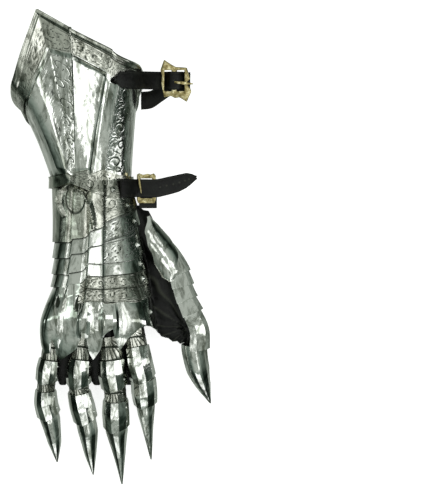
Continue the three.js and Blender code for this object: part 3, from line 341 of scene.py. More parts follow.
def black_leather(name, grain, worn, rough):
    """Vegetable-tanned hide, dyed black and waxed: pebbled grain that catches a dull sheen, with grey
    in the straps' stitch lines and holes and a painted grey highlight on the ridges of the glove's
    folds."""
    material, tree, shader = blank(name)
    place = object_place(tree)
    pebbles = add_node(tree, "TexVoronoi", {
        "Vector": place, "Scale": per_mm(grain), "Randomness": 0.9,
    }, feature="SMOOTH_F1").outputs["Distance"]
    rub = clouds(tree, place, 9, 6, roughness=0.7)
    # Grey in the stitch lines and holes, and painted highlight on the glove's fold ridges.
    stitches_and_fold_highlight = add_node(tree, "Mix", {
        "Factor": ramp(tree, cut_and_painted_light(tree), [(0.3, 0.0), (0.9, 1.0)]),
        "A": ramp(tree, rub, [(0.45, srgb(0x050505)), (0.72, srgb(worn))]), "B": srgb(0x36382F),
    }, data_type="RGBA")
    skin = bump(tree, pebbles, 0.45, 0.25, Normal=bump(tree, rub, 0.5, 0.8))
    gloss = spread_over(tree, rub, rough * 0.8, rough * 1.3)
    coat(tree, shader, Base_Color=stitches_and_fold_highlight.outputs["Result"], Roughness=gloss, Normal=skin)
    shader.inputs["Specular IOR Level"].default_value = 0.26
    return material


MAKERS = {
    "polished_steel": lambda: steel("polished_steel", 0xEEF0EC, 0x84897F, 0.11),
    "engraved_steel": lambda: steel("engraved_steel", 0xD6D7CE, 0x74766C, 0.2, 0.5),
    "brass": lambda: cast_brass("cast_brass"),
    "black_leather": lambda: black_leather("waxed_black_leather", 1.1, 0x1C1E1B, 0.42),
}


def finish_of(slot):
    """The one material of a slot, made at its first use."""
    for material in bpy.data.materials:
        if material.get("gauntlet_slot") == slot:
            return material
    material = MAKERS[slot]()
    material["gauntlet_slot"] = slot
    return material


# Making pieces.
def new_mesh():
    """An empty bmesh in millimetres that can say how deeply each vertex is cut; the same value also
    carries painted shade on steel and painted highlight on leather.
    """
    bm = bmesh.new()
    bm.verts.layers.float.new("cut_and_painted_light")
    return bm


def sheet(bm, columns, rows, place, cut=None, depth=None):
    """A sheet of a grid's vertices. Its columns run to the thumb side, its rows to the tips."""
    groove = depth if depth is not None else bpy.context.scene.gauntlet_plate.groove_depth / MM
    cut_and_painted_light = bm.verts.layers.float["cut_and_painted_light"]
    made = bmesh.ops.create_grid(
        bm, x_segments=len(columns) - 1, y_segments=len(rows) - 1, size=1,
    )["verts"]
    for vert in made:
        a = columns[round((vert.co.x + 1) / 2 * (len(columns) - 1))]
        t = rows[round((1 - vert.co.y) / 2 * (len(rows) - 1))]
        share = cut(a, t) if cut else 0
        vert.co = place(a, t, -share * groove)
        vert[cut_and_painted_light] = abs(share)
    return made


def finish_piece(bm, name, slot, nodes, thickness=0.0, bevel=0.25, crisp=16, mend=False):
    """Turns a bmesh in millimetres into a finished object that stands for its nodes."""
    if mend:
        bmesh.ops.remove_doubles(bm, verts=bm.verts, dist=0.02)
        bmesh.ops.dissolve_degenerate(bm, dist=0.01, edges=bm.edges)
        bmesh.ops.recalc_face_normals(bm, faces=bm.faces)
    bmesh.ops.transform(bm, matrix=INTO_FRAME, verts=bm.verts)
    mesh = bpy.data.meshes.new(name)
    bm.to_mesh(mesh)
    bm.free()
    made = bpy.data.objects.new(name, mesh)
    bpy.context.scene.collection.objects.link(made)
    if thickness:
        solid = made.modifiers.new("wall", "SOLIDIFY")
        solid.thickness, solid.offset = thickness * MM, -1
    if bevel:
        edge = made.modifiers.new("eased", "BEVEL")
        edge.width, edge.segments, edge.limit_method = bevel * MM, 2, "ANGLE"
        edge.angle_limit = math.radians(50)
    settle(made, crisp)
    made.data.materials.append(finish_of(slot))
    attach(made, "root")
    if nodes:
        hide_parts(*nodes)
    return made


def finish_sheet(name, slot, node, grid, cut=None, depth=None, **finish):
    """A finished plate from its grid: the columns, the rows and the place of each."""
    bm = new_mesh()
    sheet(bm, *grid, cut, depth)
    return finish_piece(bm, name, slot, [node], PLATE, **finish)


def applied(made):
    """A new mesh with the object's modifiers applied."""
    bpy.context.view_layer.update()
    graph = bpy.context.evaluated_depsgraph_get()
    return bpy.data.meshes.new_from_object(made.evaluated_get(graph))


def settle(made, crisp):
    """Applies the modifiers and marks what is sharper than crisp degrees."""
    done = applied(made)
    made.modifiers.clear()
    old, made.data = made.data, done
    bpy.data.meshes.remove(old)
    done.shade_smooth()
    done.set_sharp_from_angle(angle=math.radians(crisp))


# Engraving.
def off_line(value):
    """How far a number is from the nearest whole one."""
    return abs(value - round(value))


def groove(distance, half_width):
    """How deep a cut is at a distance from its middle line, 0 to 1."""
    return clamp(1 - (distance / half_width) ** 2)


def scrollwork(along, across, half, pitch):
    """Depth, 0 to 1, of a running leaf scroll: a coil at each pitch, turned over each time, with
    veined leaves springing from it and a line along each edge."""
    line = bpy.context.scene.gauntlet_plate.groove_width / MM / 2
    edge = half - abs(across)
    if edge < 0:
        return 0
    turn = round(along / pitch)
    side = 1 if turn % 2 == 0 else -1
    ds, dc = along - turn * pitch, across * side - half * 0.12
    radius, angle = math.hypot(ds, dc), math.atan2(dc, ds)
    reach = min(half * 0.64, pitch * 0.4)
    gap = reach / 1.4
    arm = radius / gap - angle / (2 * math.pi)
    coil = groove(off_line(arm) * gap, line) if reach * 0.2 < radius < reach else 0
    sweep = angle * 1.9 + radius * 0.24
    leaf = groove(off_line(sweep) * radius / 1.9, line * 0.75) * 0.8
    leaf *= clamp(radius - reach * 1.02) * clamp(edge - 0.5)
    lobe = groove(abs(radius - reach * 1.3 - 0.9 * math.cos(angle * 5.7)), line * 0.7) * 0.7
    return max(coil, leaf, lobe * clamp(edge - 0.5), groove(abs(edge - 0.9), line * 0.6) * 0.7)


def lengths_of(points):
    total = [0.0]
    for a, b in zip(points, points[1:]):
        total.append(total[-1] + (b - a).length)
    return total


def read_table(places, values, place):
    """A value from a sorted table, straight between its rows."""
    for n in range(1, len(places)):
        if place <= places[n]:
            share = (place - places[n - 1]) / (places[n] - places[n - 1])
            return lerp(values[n - 1], values[n], share)
    return values[-1]


def running_scroll(place, columns, top, bottom, pitch, start=None, end=None):
    """The cut of a scroll that runs across a plate, between two of its rows."""
    middle = lengths_of([place(a, (top + bottom) / 2, 0) for a in columns])
    low = columns[0] if start is None else start
    high = columns[-1] if end is None else end

    def cut(a, t):
        if not (top <= t <= bottom and low <= a <= high):
            return 0
        half = (place(a, top, 0) - place(a, bottom, 0)).length / 2
        across = (2 * (t - top) / (bottom - top) - 1) * half
        return scrollwork(read_table(columns, middle, a), across, half, min(pitch, half * 2.3))
    return cut


def standing_scroll(place, low, high, pitch):
    """The cut of a scroll that runs down a panel, between two of its columns."""
    def cut(a, t):
        if not low <= a <= high:
            return 0
        here = place((low + high) / 2, t, 0)
        half = (place(low, t, 0) - place(high, t, 0)).length / 2
        across = (2 * (a - low) / (high - low) - 1) * half
        return scrollwork(here.y, across, half, pitch) * clamp((half - 2) / 3)
    return cut


# The cuff.
def cuff_rows(at, t):
    """The cuff's height at a share from its rim to the wrist."""
    return lerp(rim_at(at) - ROLL_WIDTH * 1.2, CLEARANCE, t)


def cuff_place(at, t, lift):
    return cuff_point(at, cuff_rows(at, t), lift)


ROLL_PROFILE = [(0, -0.3), (0, 0.55), (0.4, 1), (0.9, 0.5), (1.2, 0)]
BORDER_SEAT = PLATE + 2 * CLEARANCE


def border_place(at, t, lift):
    """The border: the rolled edge to t 0.4, then the flat band."""
    if t <= 0.4:
        first, share = between_rows(ROLL_PROFILE, t * 10)
        back, rise = blend(ROLL_PROFILE[first], ROLL_PROFILE[first + 1], share)
        # A round roll over the profile's own corners.
        rise += 0.12 * math.sin(math.pi * share)
        return cuff_point(at, rim_at(at) - back * ROLL_WIDTH, BORDER_SEAT + rise * ROLL_HEIGHT + lift)
    y = lerp(rim_at(at) - 1.2 * ROLL_WIDTH, border_at(at), (t - 0.4) / 0.6)
    return cuff_point(at, y, BORDER_SEAT + lift)


def side_panel(a, t):
    return standing_scroll(cuff_place, 11.25, 14.7, 17)(a, t)


def build_cuff():
    columns = (
        knots([0, 1, 2, 3, 4, 5], 8)[:-1] + spaced(5, 6.9, 44)[:-1] + spaced(6.9, 11.2, 42)[:-1]
        + spaced(11.2, 14.8, 56)[:-1] + spaced(14.8, 17, 14)
    )
    recess = standing_scroll(cuff_place, 4.15, 6.35, 19)

    def cut(a, t):
        y = cuff_rows(a, t)
        if y > border_at(a) - 3 or y < 8:
            return 0
        return max(recess(a, t), side_panel(a, t))

    grid = columns, spaced(0, 1, 170), cuff_place
    finish_sheet("fluted_cuff", "polished_steel", "cuff_plate", grid, cut)
    band = knots(range(18), 22)
    rows = spaced(0, 0.4, 20)[:-1] + spaced(0.4, 1, 26)
    cut = running_scroll(border_place, band, 0.42, 1, 17)
    finish_sheet("rolled_border", "engraved_steel", "cuff_border", (band, rows, border_place), cut)


# The wrist and the hand.
WRIST_LAME_UP = [
    0.2, 0.2, 0.2, 0.25, 0.35, 0.27, 0.32, 0.4, 0.5, 0.38, 0.38, 0.58, 0.52, 0.3, 0.24, 0.2, 0.2, 0.2,
]
WRIST_LAME_DOWN = [
    0.5, 0.5, 0.46, 0.35, 0.2, 0.2, 0.25, 0.3, 0.55, 0.65, 0.7, 0.9, 1, 1, 0.85, 0.65, 0.5, 0.45,
]
# Lower edges at the flutes of the fingers and at the thumb-side edge, and the first line.
HAND_PLATES = [
    ("boss_plate", (0.40, 0.38, 0.33, 0.226, 0.17), 0),
    ("hand_lame_1", (0.503, 0.477, 0.432, 0.36, 0.28), 0),
    ("hand_lame_2", (0.606, 0.6, 0.535, 0.525, 0.46), 0),
    ("hand_lame_3", (0.69, 0.675, 0.615, 0.605, 0.557), 0),
    ("hand_lame_4", (0.74, 0.72, 0.695, 0.69, 0.66), 8),
    ("hand_lame_5", (0.8, 0.79, 0.778, 0.778, 0.745), 8),
]
EDGE_KNOTS = (4, 7, 10, 13, 15)
HAND_LAST_LINE, LAME_OVERLAP, SCALLOP = 15, 0.035, 0.01


def wrist_lame_place(at, t, extra=0):
    first, share = between_rows(LINES, at)
    soft = share * share * (3 - 2 * share)
    up = lerp(WRIST_LAME_UP[first], WRIST_LAME_UP[first + 1], soft)
    down = lerp(WRIST_LAME_DOWN[first], WRIST_LAME_DOWN[first + 1], share)
    y = lerp(up, -down, t) * WRIST_LAME_REACH
    return arm_point(at, y, PLATE + 2 * CLEARANCE + t * LAME_RISE / 2 + extra)


def edge_at(number, at):
    """The lower edge of a plate of the hand, bowed a little between its flutes."""
    inside = clamp(at, EDGE_KNOTS[0], HAND_LAST_LINE)
    n = max(k for k, knot in enumerate(EDGE_KNOTS[:-1]) if inside >= knot)
    share = (inside - EDGE_KNOTS[n]) / (EDGE_KNOTS[n + 1] - EDGE_KNOTS[n])
    return read_table(EDGE_KNOTS, HAND_PLATES[number][1], inside) + SCALLOP * math.sin(math.pi * share)


def painted_lap_shadow(number, at, t):
    """Painted shadow: a dark band on a plate just below the edge of the plate that laps over it, sunk a
    little as well.
    """
    above = edge_at(number - 1, at)
    lap = LAME_OVERLAP / (edge_at(number, at) - above + LAME_OVERLAP)
    return clamp(1 - abs(t - lap - 0.02) / 0.075) * 0.85


def plate_place(number):
    """Where a plate of the hand lies: t runs from under the plate above to its lower edge."""
    def place(at, t, extra=0):
        top = CLEARANCE / HAND_LENGTH if number == 0 else edge_at(number - 1, at) - LAME_OVERLAP
        return hand_point(at, lerp(top, edge_at(number, at), t), t * LAME_RISE + extra)
    return place


# The pointed arch seen from above, in mm, and the oval field that it holds.
HOOD_LEGS = [
    [(-25.5, -5.5), (-33.5, -11), (-36.6, -22), (-31.5, -34.5)],
    [(-25.5, -5.5), (-14, -11.5), (-7, -23), (-3.5, -36), (-2, -47)],
]
OVAL = {"x": -20.7, "y": -19, "half_x": 10.5, "half_y": 15.5}


def curve_point(points, t):
    """A centripetal curve through the points, at a share of its length in points."""
    last = len(points) - 1
    place = last * clamp(t)
    first = min(int(place), last - 1)
    w = place - first
    p1, p2 = points[first], points[first + 1]
    p0 = points[first - 1] if first > 0 else 2 * p1 - p2
    p3 = points[first + 2] if first + 2 <= last else 2 * p2 - p1
    d0, d1, d2 = ((b - a).length ** 0.5 for a, b in ((p0, p1), (p1, p2), (p2, p3)))
    d1 = d1 if d1 > 1e-4 else 1.0
    d0, d2 = (d if d > 1e-4 else d1 for d in (d0, d2))
    m = ((p1 - p0) / d0 - (p2 - p0) / (d0 + d1) + (p2 - p1) / d1) * d1
    n = ((p2 - p1) / d1 - (p3 - p1) / (d1 + d2) + (p3 - p2) / d2) * d1
    return p1 + m * w + (3 * (p2 - p1) - 2 * m - n) * w ** 2 + (2 * (p1 - p2) + m + n) * w ** 3


def curve_tangent(points, t):
    step = 1e-4
    return (curve_point(points, t + step) - curve_point(points, t - step)).normalized()


def build_boss_plate():
    plate = plate_place(0)
    legs = []
    for leg in HOOD_LEGS:
        knees = [Vector((x, y, 0)) for x, y in leg]
        legs.append([(curve_point(knees, t).xy, t) for t in spaced(0, 1, 24)])
    middle = Vector((OVAL["x"], OVAL["y"]))

    def arch(flat):
        """Height of the arch's ridge over a place: steep towards the oval field, and a long
        hollow fall away from it."""
        best = 0.0
        for leg in legs:
            for (a, share), (b, _) in zip(leg, leg[1:]):
                span = b - a
                near = a + span * clamp((flat - a).dot(span) / span.length_squared)
                outside = (flat - middle).length > (near - middle).length
                half = (5.2 if outside else 2.6) * (1 - 0.3 * share)
                fall = clamp(1 - (flat - near).length / half)
                best = max(best, (1 - 0.5 * share ** 2) * fall ** (1.5 if outside else 0.8))
        return HOOD_HEIGHT * 1.1 * best

    def oval(flat):
        """How far inside the oval field a place is, 0 to 1."""
        x, y = (flat - middle).x / OVAL["half_x"], (flat - middle).y / OVAL["half_y"]
        return clamp((1 - math.hypot(x, y)) * 6)

    def place(at, t, extra):
        flat = plate(at, t, 0).xy
        return plate(at, t, extra + arch(flat) - 1.2 * oval(flat))

    columns = knots([0, 1, 2], 4)[:-1] + spaced(2, 11.5, 110)[:-1] + spaced(11.5, 15, 44)
    side = running_scroll(plate, columns, 0.12, 0.97, 14, 10.9, 14.4)

    def cut(at, t):
        point = plate(at, t, 0)
        inside = oval(point.xy)
        if inside > 0:
            rings = point.y * 0.28 + point.x * 0.16 + 0.5 * math.sin(point.x * 0.5)
            line = groove(off_line(rings) * 3.2, 0.4) * 0.35
            # Painted shadow round the oval's rim, darkest on its left, also sunk a little; the middle
            # holds engraved rings.
            painted_rim_shadow = clamp(0.6 - 0.7 * (point.x - middle.x) / OVAL["half_x"])
            return line if inside > 0.9 else painted_rim_shadow * (1 - abs(2 * inside - 1))
        if at > 10.5:
            return side(at, t)
        across = (point.x + 2) * 0.5 + (point.y + 30) * 0.24
        on_leaf = arch(point.xy) > 0.3 and point.x > -13.7
        return groove(off_line(across) * 2.4, 0.42) * 0.5 if on_leaf else 0

    grid = columns, spaced(0, 1, 90), place
    finish_sheet("hooded_boss_plate", "engraved_steel", "boss_plate", grid, cut)


def build_hand_lames():
    for number in range(1, len(HAND_PLATES)):
        name, _, start = HAND_PLATES[number]
        banded = number > 3
        place = plate_place(number)
        columns = knots(range(start, HAND_LAST_LINE + 1), 14 if banded else 10)
        field = (0.3, 1, 12) if banded else (0.28, 1, 13, 11.6, 14.6)
        scroll = running_scroll(place, columns, *field)

        def cut(at, t, number=number, scroll=scroll):
            # The painted shadow under the lapping edge, and the engraved scroll.
            return max(painted_lap_shadow(number, at, t), scroll(at, t) if number != 3 else 0)

        slot = "engraved_steel" if banded else "polished_steel"
        finish_sheet(f"fanned_{name}", slot, name, (columns, spaced(0, 1, 26), place), cut)


def build_wrist_lame():
    columns = knots(range(18), 16)
    cut = running_scroll(wrist_lame_place, columns, 0.04, 0.96, 15, 4.6, 14.6)
    grid = columns, spaced(0, 1, 30), wrist_lame_place
    finish_sheet("scalloped_wrist_lame", "engraved_steel", "wrist_lame", grid, cut)


# The knuckle plate: line, lower edge, bulge and where the bulge ends.
KNUCKLE_LINES = [
    (0, 0.95, 0.8, 1.22), (1, 1.02, 1.8, 1.22), (2, 1.08, 1.8, 1.22), (2.7, 1.12, 1.35, 1.2),
    (3.25, 1.12, 1.2, 1.15), (3.5, 1.02, 1.1, 1.1), (3.8, 1.13, 1, 1.1), (5.4, 1.15, 0.8, 1.05),
    (6.5, 1.16, 0.2, 1.02), (7.1, 1.15, 0.2, 1.02), (7.7, 1.11, 0.5, 1.02), (9, 1.04, 0.95, 1.02),
    (9.6, 1.015, 1, 1.02), (10.2, 1.02, 0.9, 1.02), (10.4, 1.12, 0.4, 1.02), (10.6, 1.16, 0.2, 1.02),
    (10.85, 1.12, 0.2, 1.02), (11.6, 1.03, 0.7, 1.02), (12.35, 0.96, 1, 1.02), (12.5, 1.03, 0.9, 1.02),
    (12.65, 1.1, 0.5, 1.02), (13, 1.03, 0.6, 1.02), (13.6, 0.955, 0.9, 1.02), (14, 0.94, 0.7, 1.02),
    (14.5, 0.945, 0.3, 1.02), (15, 0.965, 0, 1.02), (15.2, 0.97, 0, 1.02),
]
KNUCKLE_LIFT = 1.6
# Slots between the knuckles: middle x and y, half breadth and half length.
TEARDROPS = [(-38.5, -121.5, 2.3, 6.2), (-17.6, -122.5, 3.9, 8.0)]


def knuckle_place(place, t, extra=0):
    first, share = between_rows(KNUCKLE_LINES, place)
    at, end, bulge, fade = blend(KNUCKLE_LINES[first], KNUCKLE_LINES[first + 1], share)
    edge = edge_at(3 if at < HAND_PLATES[5][2] else 5, at)
    down = lerp(edge - LAME_OVERLAP, end, t)
    hump = math.sin(math.pi * clamp((down - edge) / (fade - edge)))
    tendons = clamp(1 - (down - edge) / (2 * LAME_OVERLAP))
    lift = KNUCKLE_LIFT * t - CLEARANCE / 2 + bulge * KNUCKLE_HEIGHT * hump
    return hand_point(at, down, lift + extra, tendons)


def teardrop(x, y):
    """How far inside a slot a place is, 0 to 1: pointed above, round below."""
    best = 0.0
    for middle, height, breadth, length in TEARDROPS:
        up = (y - height) / length
        if abs(up) < 1:
            half = breadth * math.sqrt(max(0, (1 - up) * (1 + up))) * (1 - 0.35 * up)
            best = max(best, clamp((1 - abs(x - middle - 0.12 * (y - height)) / half) * 3))
    return best


def build_knuckle_plate():
    def place(a, t, extra):
        point = knuckle_place(a, t, 0)
        return knuckle_place(a, t, extra - 1.1 * teardrop(point.x, point.y))

    # The slots are sunk and painted dark: painted shade in their hollows.
    def cut(a, t):
        point = knuckle_place(a, t, 0)
        return teardrop(point.x, point.y)

    grid = knots(range(len(KNUCKLE_LINES)), 9), spaced(0, 1, 70), place
    finish_sheet("taloned_knuckle_plate", "polished_steel", "knuckle_plate", grid, cut, 0, crisp=9)


# The digits.
AXES = {
    "little": [
        (-0.395, -0.05, 0.54, 0.43), (-0.412, 0.05, 0.525, 0.43), (-0.432, 0.18, 0.485, 0.43),
        (-0.4615, 0.30, 0.44, 0.43), (-0.485, 0.42, 0.38, 0.42), (-0.48, 0.51, 0.32, 0.44),
        (-0.447, 0.60, 0.25, 0.47), (-0.404, 0.745, 0.135, 0.31), (-0.38, 0.866, 0.04, 0.03),
    ],
    "ring": [
        (-0.12, -0.09, 0.64, 0.48), (-0.125, 0.05, 0.625, 0.48), (-0.14, 0.18, 0.58, 0.48),
        (-0.163, 0.313, 0.545, 0.47), (-0.163, 0.434, 0.456, 0.46), (-0.125, 0.542, 0.375, 0.47),
        (-0.082, 0.672, 0.28, 0.46), (-0.058, 0.816, 0.155, 0.27), (-0.032, 0.942, 0.04, 0.03),
    ],
    "middle": [
        (0.1, -0.09, 0.66, 0.53), (0.115, 0.05, 0.645, 0.53), (0.135, 0.18, 0.6, 0.53),
        (0.154, 0.313, 0.56, 0.52), (0.183, 0.44, 0.485, 0.5), (0.19, 0.56, 0.395, 0.5),
        (0.197, 0.672, 0.3, 0.5), (0.221, 0.816, 0.17, 0.28), (0.246, 1, 0.04, 0.03),
    ],
    "index": [
        (0.32, -0.09, 0.54, 0.51), (0.345, 0.03, 0.54, 0.51), (0.372, 0.12, 0.525, 0.51),
        (0.413, 0.253, 0.5, 0.51), (0.452, 0.36, 0.426, 0.5), (0.471, 0.48, 0.323, 0.46),
        (0.481, 0.572, 0.265, 0.38), (0.527, 0.85, 0.04, 0.03),
    ],
    "thumb": [
        (0.36, -0.68, 0.48, 0.38), (0.50, -0.494, 0.47, 0.6), (0.645, -0.373, 0.455, 0.65),
        (0.74, -0.271, 0.45, 0.615), (0.808, -0.1325, 0.44, 0.58), (0.875, -0.03, 0.434, 0.58),
        (0.942, 0.072, 0.41, 0.58), (0.945, 0.18, 0.36, 0.57), (0.98, 0.3, 0.27, 0.52),
        (1.033, 0.4, 0.17, 0.33), (1.1, 0.509, 0.05, 0.03),
    ],
}
# Where each finger's plates begin and end, and where its claw begins.
FINGER_PLATES = {
    "little": ((0.108, 0.259), (0.241, 0.3675), (0.349, 0.44), (0.425, 0.572), 0.5),
    "ring": ((0.096, 0.259), (0.241, 0.3855), (0.367, 0.458), (0.434, 0.602), 0.53),
    "middle": ((0.096, 0.259), (0.241, 0.404), (0.3855, 0.5), (0.482, 0.6446), 0.566),
    "index": ((0.055, 0.18), (0.163, 0.349), (0.313, 0.3855), (0.358, 0.512), 0.44),
}
THUMB_CLAW = 0.15
FINGER_CREST = 2.2
INNER = -(PLATE + CLEARANCE)
SKIN = 2 * INNER
TURNS = [
    (-25, 0), (10, 0), (45, 0.1), (80, 0.45), (108, 1), (135, 0.4), (170, 0), (205, 0), (245, 0),
    (290, 0),
]
FINGER_TURNS = TURNS[7::-1]
THUMB_TURNS = [(108, 0), (80, 0), (45, 0.6), (10, 0.6), (-25, 0), (-70, 0)]


def reach_y(reach):
    return -KNUCKLE_LINE * HAND_LENGTH - reach * FINGER_REACH


class Digit:
    """A finger's or the thumb's middle line with its radius."""

    def __init__(self, rows):
        self.radii = [row[3] * FINGER_BREADTH for row in rows]
        self.points = [
            Vector((x * HAND_BREADTH, reach_y(reach), z * HAND_DEPTH)) for x, reach, z, _ in rows
        ]
        self.shares = spaced(0, 1, 400)
        self.heights = [-curve_point(self.points, t).y for t in self.shares]

    def station(self, reach):
        depth = -reach_y(reach)
        low, high = 0, len(self.shares) - 1
        while high - low > 1:
            half = (low + high) // 2
            low, high = (half, high) if self.heights[half] < depth else (low, half)
        span = self.heights[high] - self.heights[low]
        return lerp(self.shares[low], self.shares[high], clamp((depth - self.heights[low]) / span))

    def radius(self, t):
        first, share = between_rows(self.radii, t * (len(self.radii) - 1))
        return lerp(self.radii[first], self.radii[first + 1], share)

    def point(self, t, turn, radius):
        along = curve_tangent(self.points, t)
        up = (Vector((0, 0, 1)) - along * along.z).normalized()
        side = up.cross(along)
        return (
            curve_point(self.points, t)
            + side * (radius * math.cos(math.radians(turn)))
            + up * (radius * math.sin(math.radians(turn)))
        )


DIGITS = {name: Digit(rows) for name, rows in AXES.items()}


def faceted(digit, turns, column, t, lift, ridge):
    """A place on a faceted arch: flat between the turns, with its creases on them."""
    first, share = between_rows(turns, column)
    ends = [
        digit.point(t, turn, digit.radius(t) + lift + share_of * ridge)
        for turn, share_of in (turns[first], turns[first + 1])
    ]
    return ends[0].lerp(ends[1], share)


def arch_place(digit, reaches, turns, layer, flare, chevron=0.0):
    """A plate over a digit. chevron moves its lower edge down at the ridge, in mm."""
    def place(column, t, extra=0):
        ridge_near = clamp(1 - abs(column - 3) / 3.5)
        end = reaches[1] + chevron * (ridge_near - 0.45) / FINGER_REACH
        station = digit.station(lerp(reaches[0], end, t))
        crest = (layer == 0) * FINGER_CREST * (1 - abs(2 * t - 0.95)) * ridge_near
        return faceted(digit, turns, column, station, layer + flare * t + crest + extra, FINGER_RIDGE)
    return place


def leaf_veins(column, t):
    """Cuts of a small fan of leaves on an under-knuckle lame."""
    fan = math.atan2(column - 3.2, 0.25 + t * 3) * 4.2
    veins = groove(off_line(fan), 0.16)
    bow = abs(t - 0.35 - 0.02 * (column - 3.2) ** 2) * 14
    return max(veins * clamp(t * 4), groove(bow, 0.8), groove(abs(t - 0.88) * 14, 0.7))


def dome(bm, seat, normal, radius, height):
    """A rivet's domed head on its seat."""
    made = bmesh.ops.create_uvsphere(bm, u_segments=20, v_segments=12, radius=1)["verts"]
    faces = {face for vert in made for face in vert.link_faces}
    edges = {edge for vert in made for edge in vert.link_edges}
    cut = bmesh.ops.bisect_plane(
        bm, geom=[*made, *edges, *faces], plane_co=(0, 0, -0.25), plane_no=(0, 0, -1), clear_outer=True,
    )
    rim = [g for g in cut["geom_cut"] if isinstance(g, bmesh.types.BMEdge)]
    made = [vert for vert in made if vert.is_valid] + [
        g for g in cut["geom_cut"] if isinstance(g, bmesh.types.BMVert)
    ]
    bmesh.ops.holes_fill(bm, edges=rim, sides=0)
    turn = Vector((0, 0, 1)).rotation_difference(normal).to_matrix().to_4x4()
    bmesh.ops.transform(
        bm, verts=list(set(made)),
        matrix=Matrix.Translation(seat) @ turn @ Matrix.Diagonal((radius, radius, height, 1)),
    )


def seat_on(place, a, t, extra=0.0):
    """A seat and its outward direction on any piece's face."""
    seat = place(a, t, extra)
    across = place(a + 0.15, t, extra) - place(a - 0.15, t, extra)
    along = place(a, t + 0.04, extra) - place(a, t - 0.04, extra)
    return seat, along.cross(across).normalized()


def build_finger(name):
    digit = DIGITS[name]
    under, first, middle, last, claw = FINGER_PLATES[name]
    pieces = [
        ("knuckle_lame", under, INNER, 0.0, 0.0), ("first_plate", first, 0.0, 0.6, 5.0),
        ("joint_lame", middle, INNER, 0.0, 0.0), ("end_plate", last, 0.0, 0.6, 5.0),
    ]
    pins = new_mesh()
    for part, reaches, layer, flare, chevron in pieces:
        place = arch_place(digit, reaches, FINGER_TURNS, layer, flare, chevron)
        veined = part in ("knuckle_lame", "joint_lame")
        slot, steps, rows, cut = (
            ("engraved_steel", 12, 30, leaf_veins) if veined else ("polished_steel", 5, 14, None)
        )
        grid = knots(range(len(FINGER_TURNS)), steps), spaced(0, 1, rows), place
        finish_sheet(f"{name}_arched_{part}", slot, f"{name}_{part}", grid, cut, crisp=10)
        if not veined:
            for t in (0.22, 0.74):
                dome(pins, *seat_on(place, 5.2, t, 0.1), 1.25, 0.9)
    finish_piece(pins, f"{name}_pins", "polished_steel", [], bevel=0, crisp=35)
    build_claw(name, claw, 0.6)


def build_fingers():
    for name in FINGER_PLATES:
        build_finger(name)


def build_claw(name, begin, ridge):
    """A long faceted cone whose cup holds the end of a stall."""
    digit = DIGITS[name]
    start = digit.station(begin)
    floor = digit.station(begin + CUP_DEPTH / FINGER_REACH)
    full = digit.radius(start)
    # Each ring's station, radius and share of the ridge: the cup's floor, its mouth, the skin.
    rows = [(floor, (digit.radius(floor) + INNER - PLATE) * 0.7, 0), (start, full + INNER - PLATE, 0)]
    for share in spaced(0, 1, 22):
        t = lerp(start, 1, share)
        rows.append((t, digit.radius(t) * (full + INNER) / full, ridge * (1 - share)))
    turns = [*TURNS, (TURNS[0][0] + 360, TURNS[0][1])]

    def place(column, row, extra=0):
        t, radius, share = rows[int(row)]
        return faceted(digit, turns, column, t, radius - digit.radius(t), FINGER_RIDGE * share)

    bm = new_mesh()
    sheet(bm, knots(range(len(turns)), 3), list(range(len(rows))), place)
    bmesh.ops.remove_doubles(bm, verts=bm.verts, dist=0.01)
    bmesh.ops.holes_fill(bm, edges=[edge for edge in bm.edges if edge.is_boundary], sides=0)
    nodes = [f"{name}_claw"]
    finish_piece(bm, f"{name}_faceted_claw", "polished_steel", nodes, bevel=0, crisp=32, mend=True)


THUMB_LAMES = [
    ("thumb_lame_1", -0.45, -0.26), ("thumb_lame_2", -0.295, -0.19), ("thumb_lame_3", -0.225, -0.105),
    ("thumb_lame_4", -0.14, -0.025), ("thumb_knuckle_plate", -0.06, 0.175),
]
THUMB_LEAF = [
    (-0.60, 50, 8), (-0.52, 60, 32), (-0.44, 66, 42), (-0.36, 82, 42), (-0.29, 98, 28), (-0.24, 104, 6),
]


def build_thumb():
    digit = DIGITS["thumb"]
    for name, start, end in THUMB_LAMES:
        rise = LAME_RISE * (0.6 if name == "thumb_knuckle_plate" else 1)
        place = arch_place(digit, (start, end), THUMB_TURNS, INNER, rise)
        grid = knots(range(len(THUMB_TURNS)), 6), spaced(0, 1, 16), place
        finish_sheet(f"lapped_{name}", "polished_steel", name, grid, crisp=10)

    def leaf(share, row, extra=0):
        first, part = between_rows(THUMB_LEAF, row)
        soft = part * part * (3 - 2 * part)
        (r0, turn0, spread0), (r1, turn1, spread1) = THUMB_LEAF[first], THUMB_LEAF[first + 1]
        t = digit.station(lerp(r0, r1, part))
        radius = digit.radius(t) + INNER + LAME_RISE + PLATE + CLEARANCE
        crest = FINGER_RIDGE / 2 * (1 - abs(share))
        turn = lerp(turn0, turn1, soft) + share * lerp(spread0, spread1, soft)
        return digit.point(t, turn, radius + crest + extra)

    grid = spaced(1, -1, 28), spaced(0, len(THUMB_LEAF) - 1, 60), leaf
    finish_sheet("thumb_leaf", "polished_steel", "thumb_leaf_plate", grid, crisp=10)
    build_claw("thumb", THUMB_CLAW, 0)


# Rivets.
def build_rivets():
    def cuff_seat(at, t, extra):
        return cuff_point(at, (1 - t) * 2 * RELIEF_LENGTH, extra)

    seats = [
        ("cuff_rivet", cuff_seat, 13.1, 0.57), ("wrist_lame_rivet", wrist_lame_place, 12.5, 0.68),
        ("boss_plate_rivet", plate_place(0), 13.8, 0.75),
        ("knuckle_wing_rivet", knuckle_place, 24.5, 0.55),
    ]
    seats += [(f"hand_lame_{n}_rivet", plate_place(n), 14.4, 0.66) for n in range(1, 5)]
    for name, place, a, t in seats:
        bm = new_mesh()
        dome(bm, *seat_on(place, a, t, CLEARANCE), RIVET_RADIUS, RIVET_HEIGHT)
        finish_piece(bm, f"domed_{name}", "polished_steel", [name], bevel=0, crisp=35)


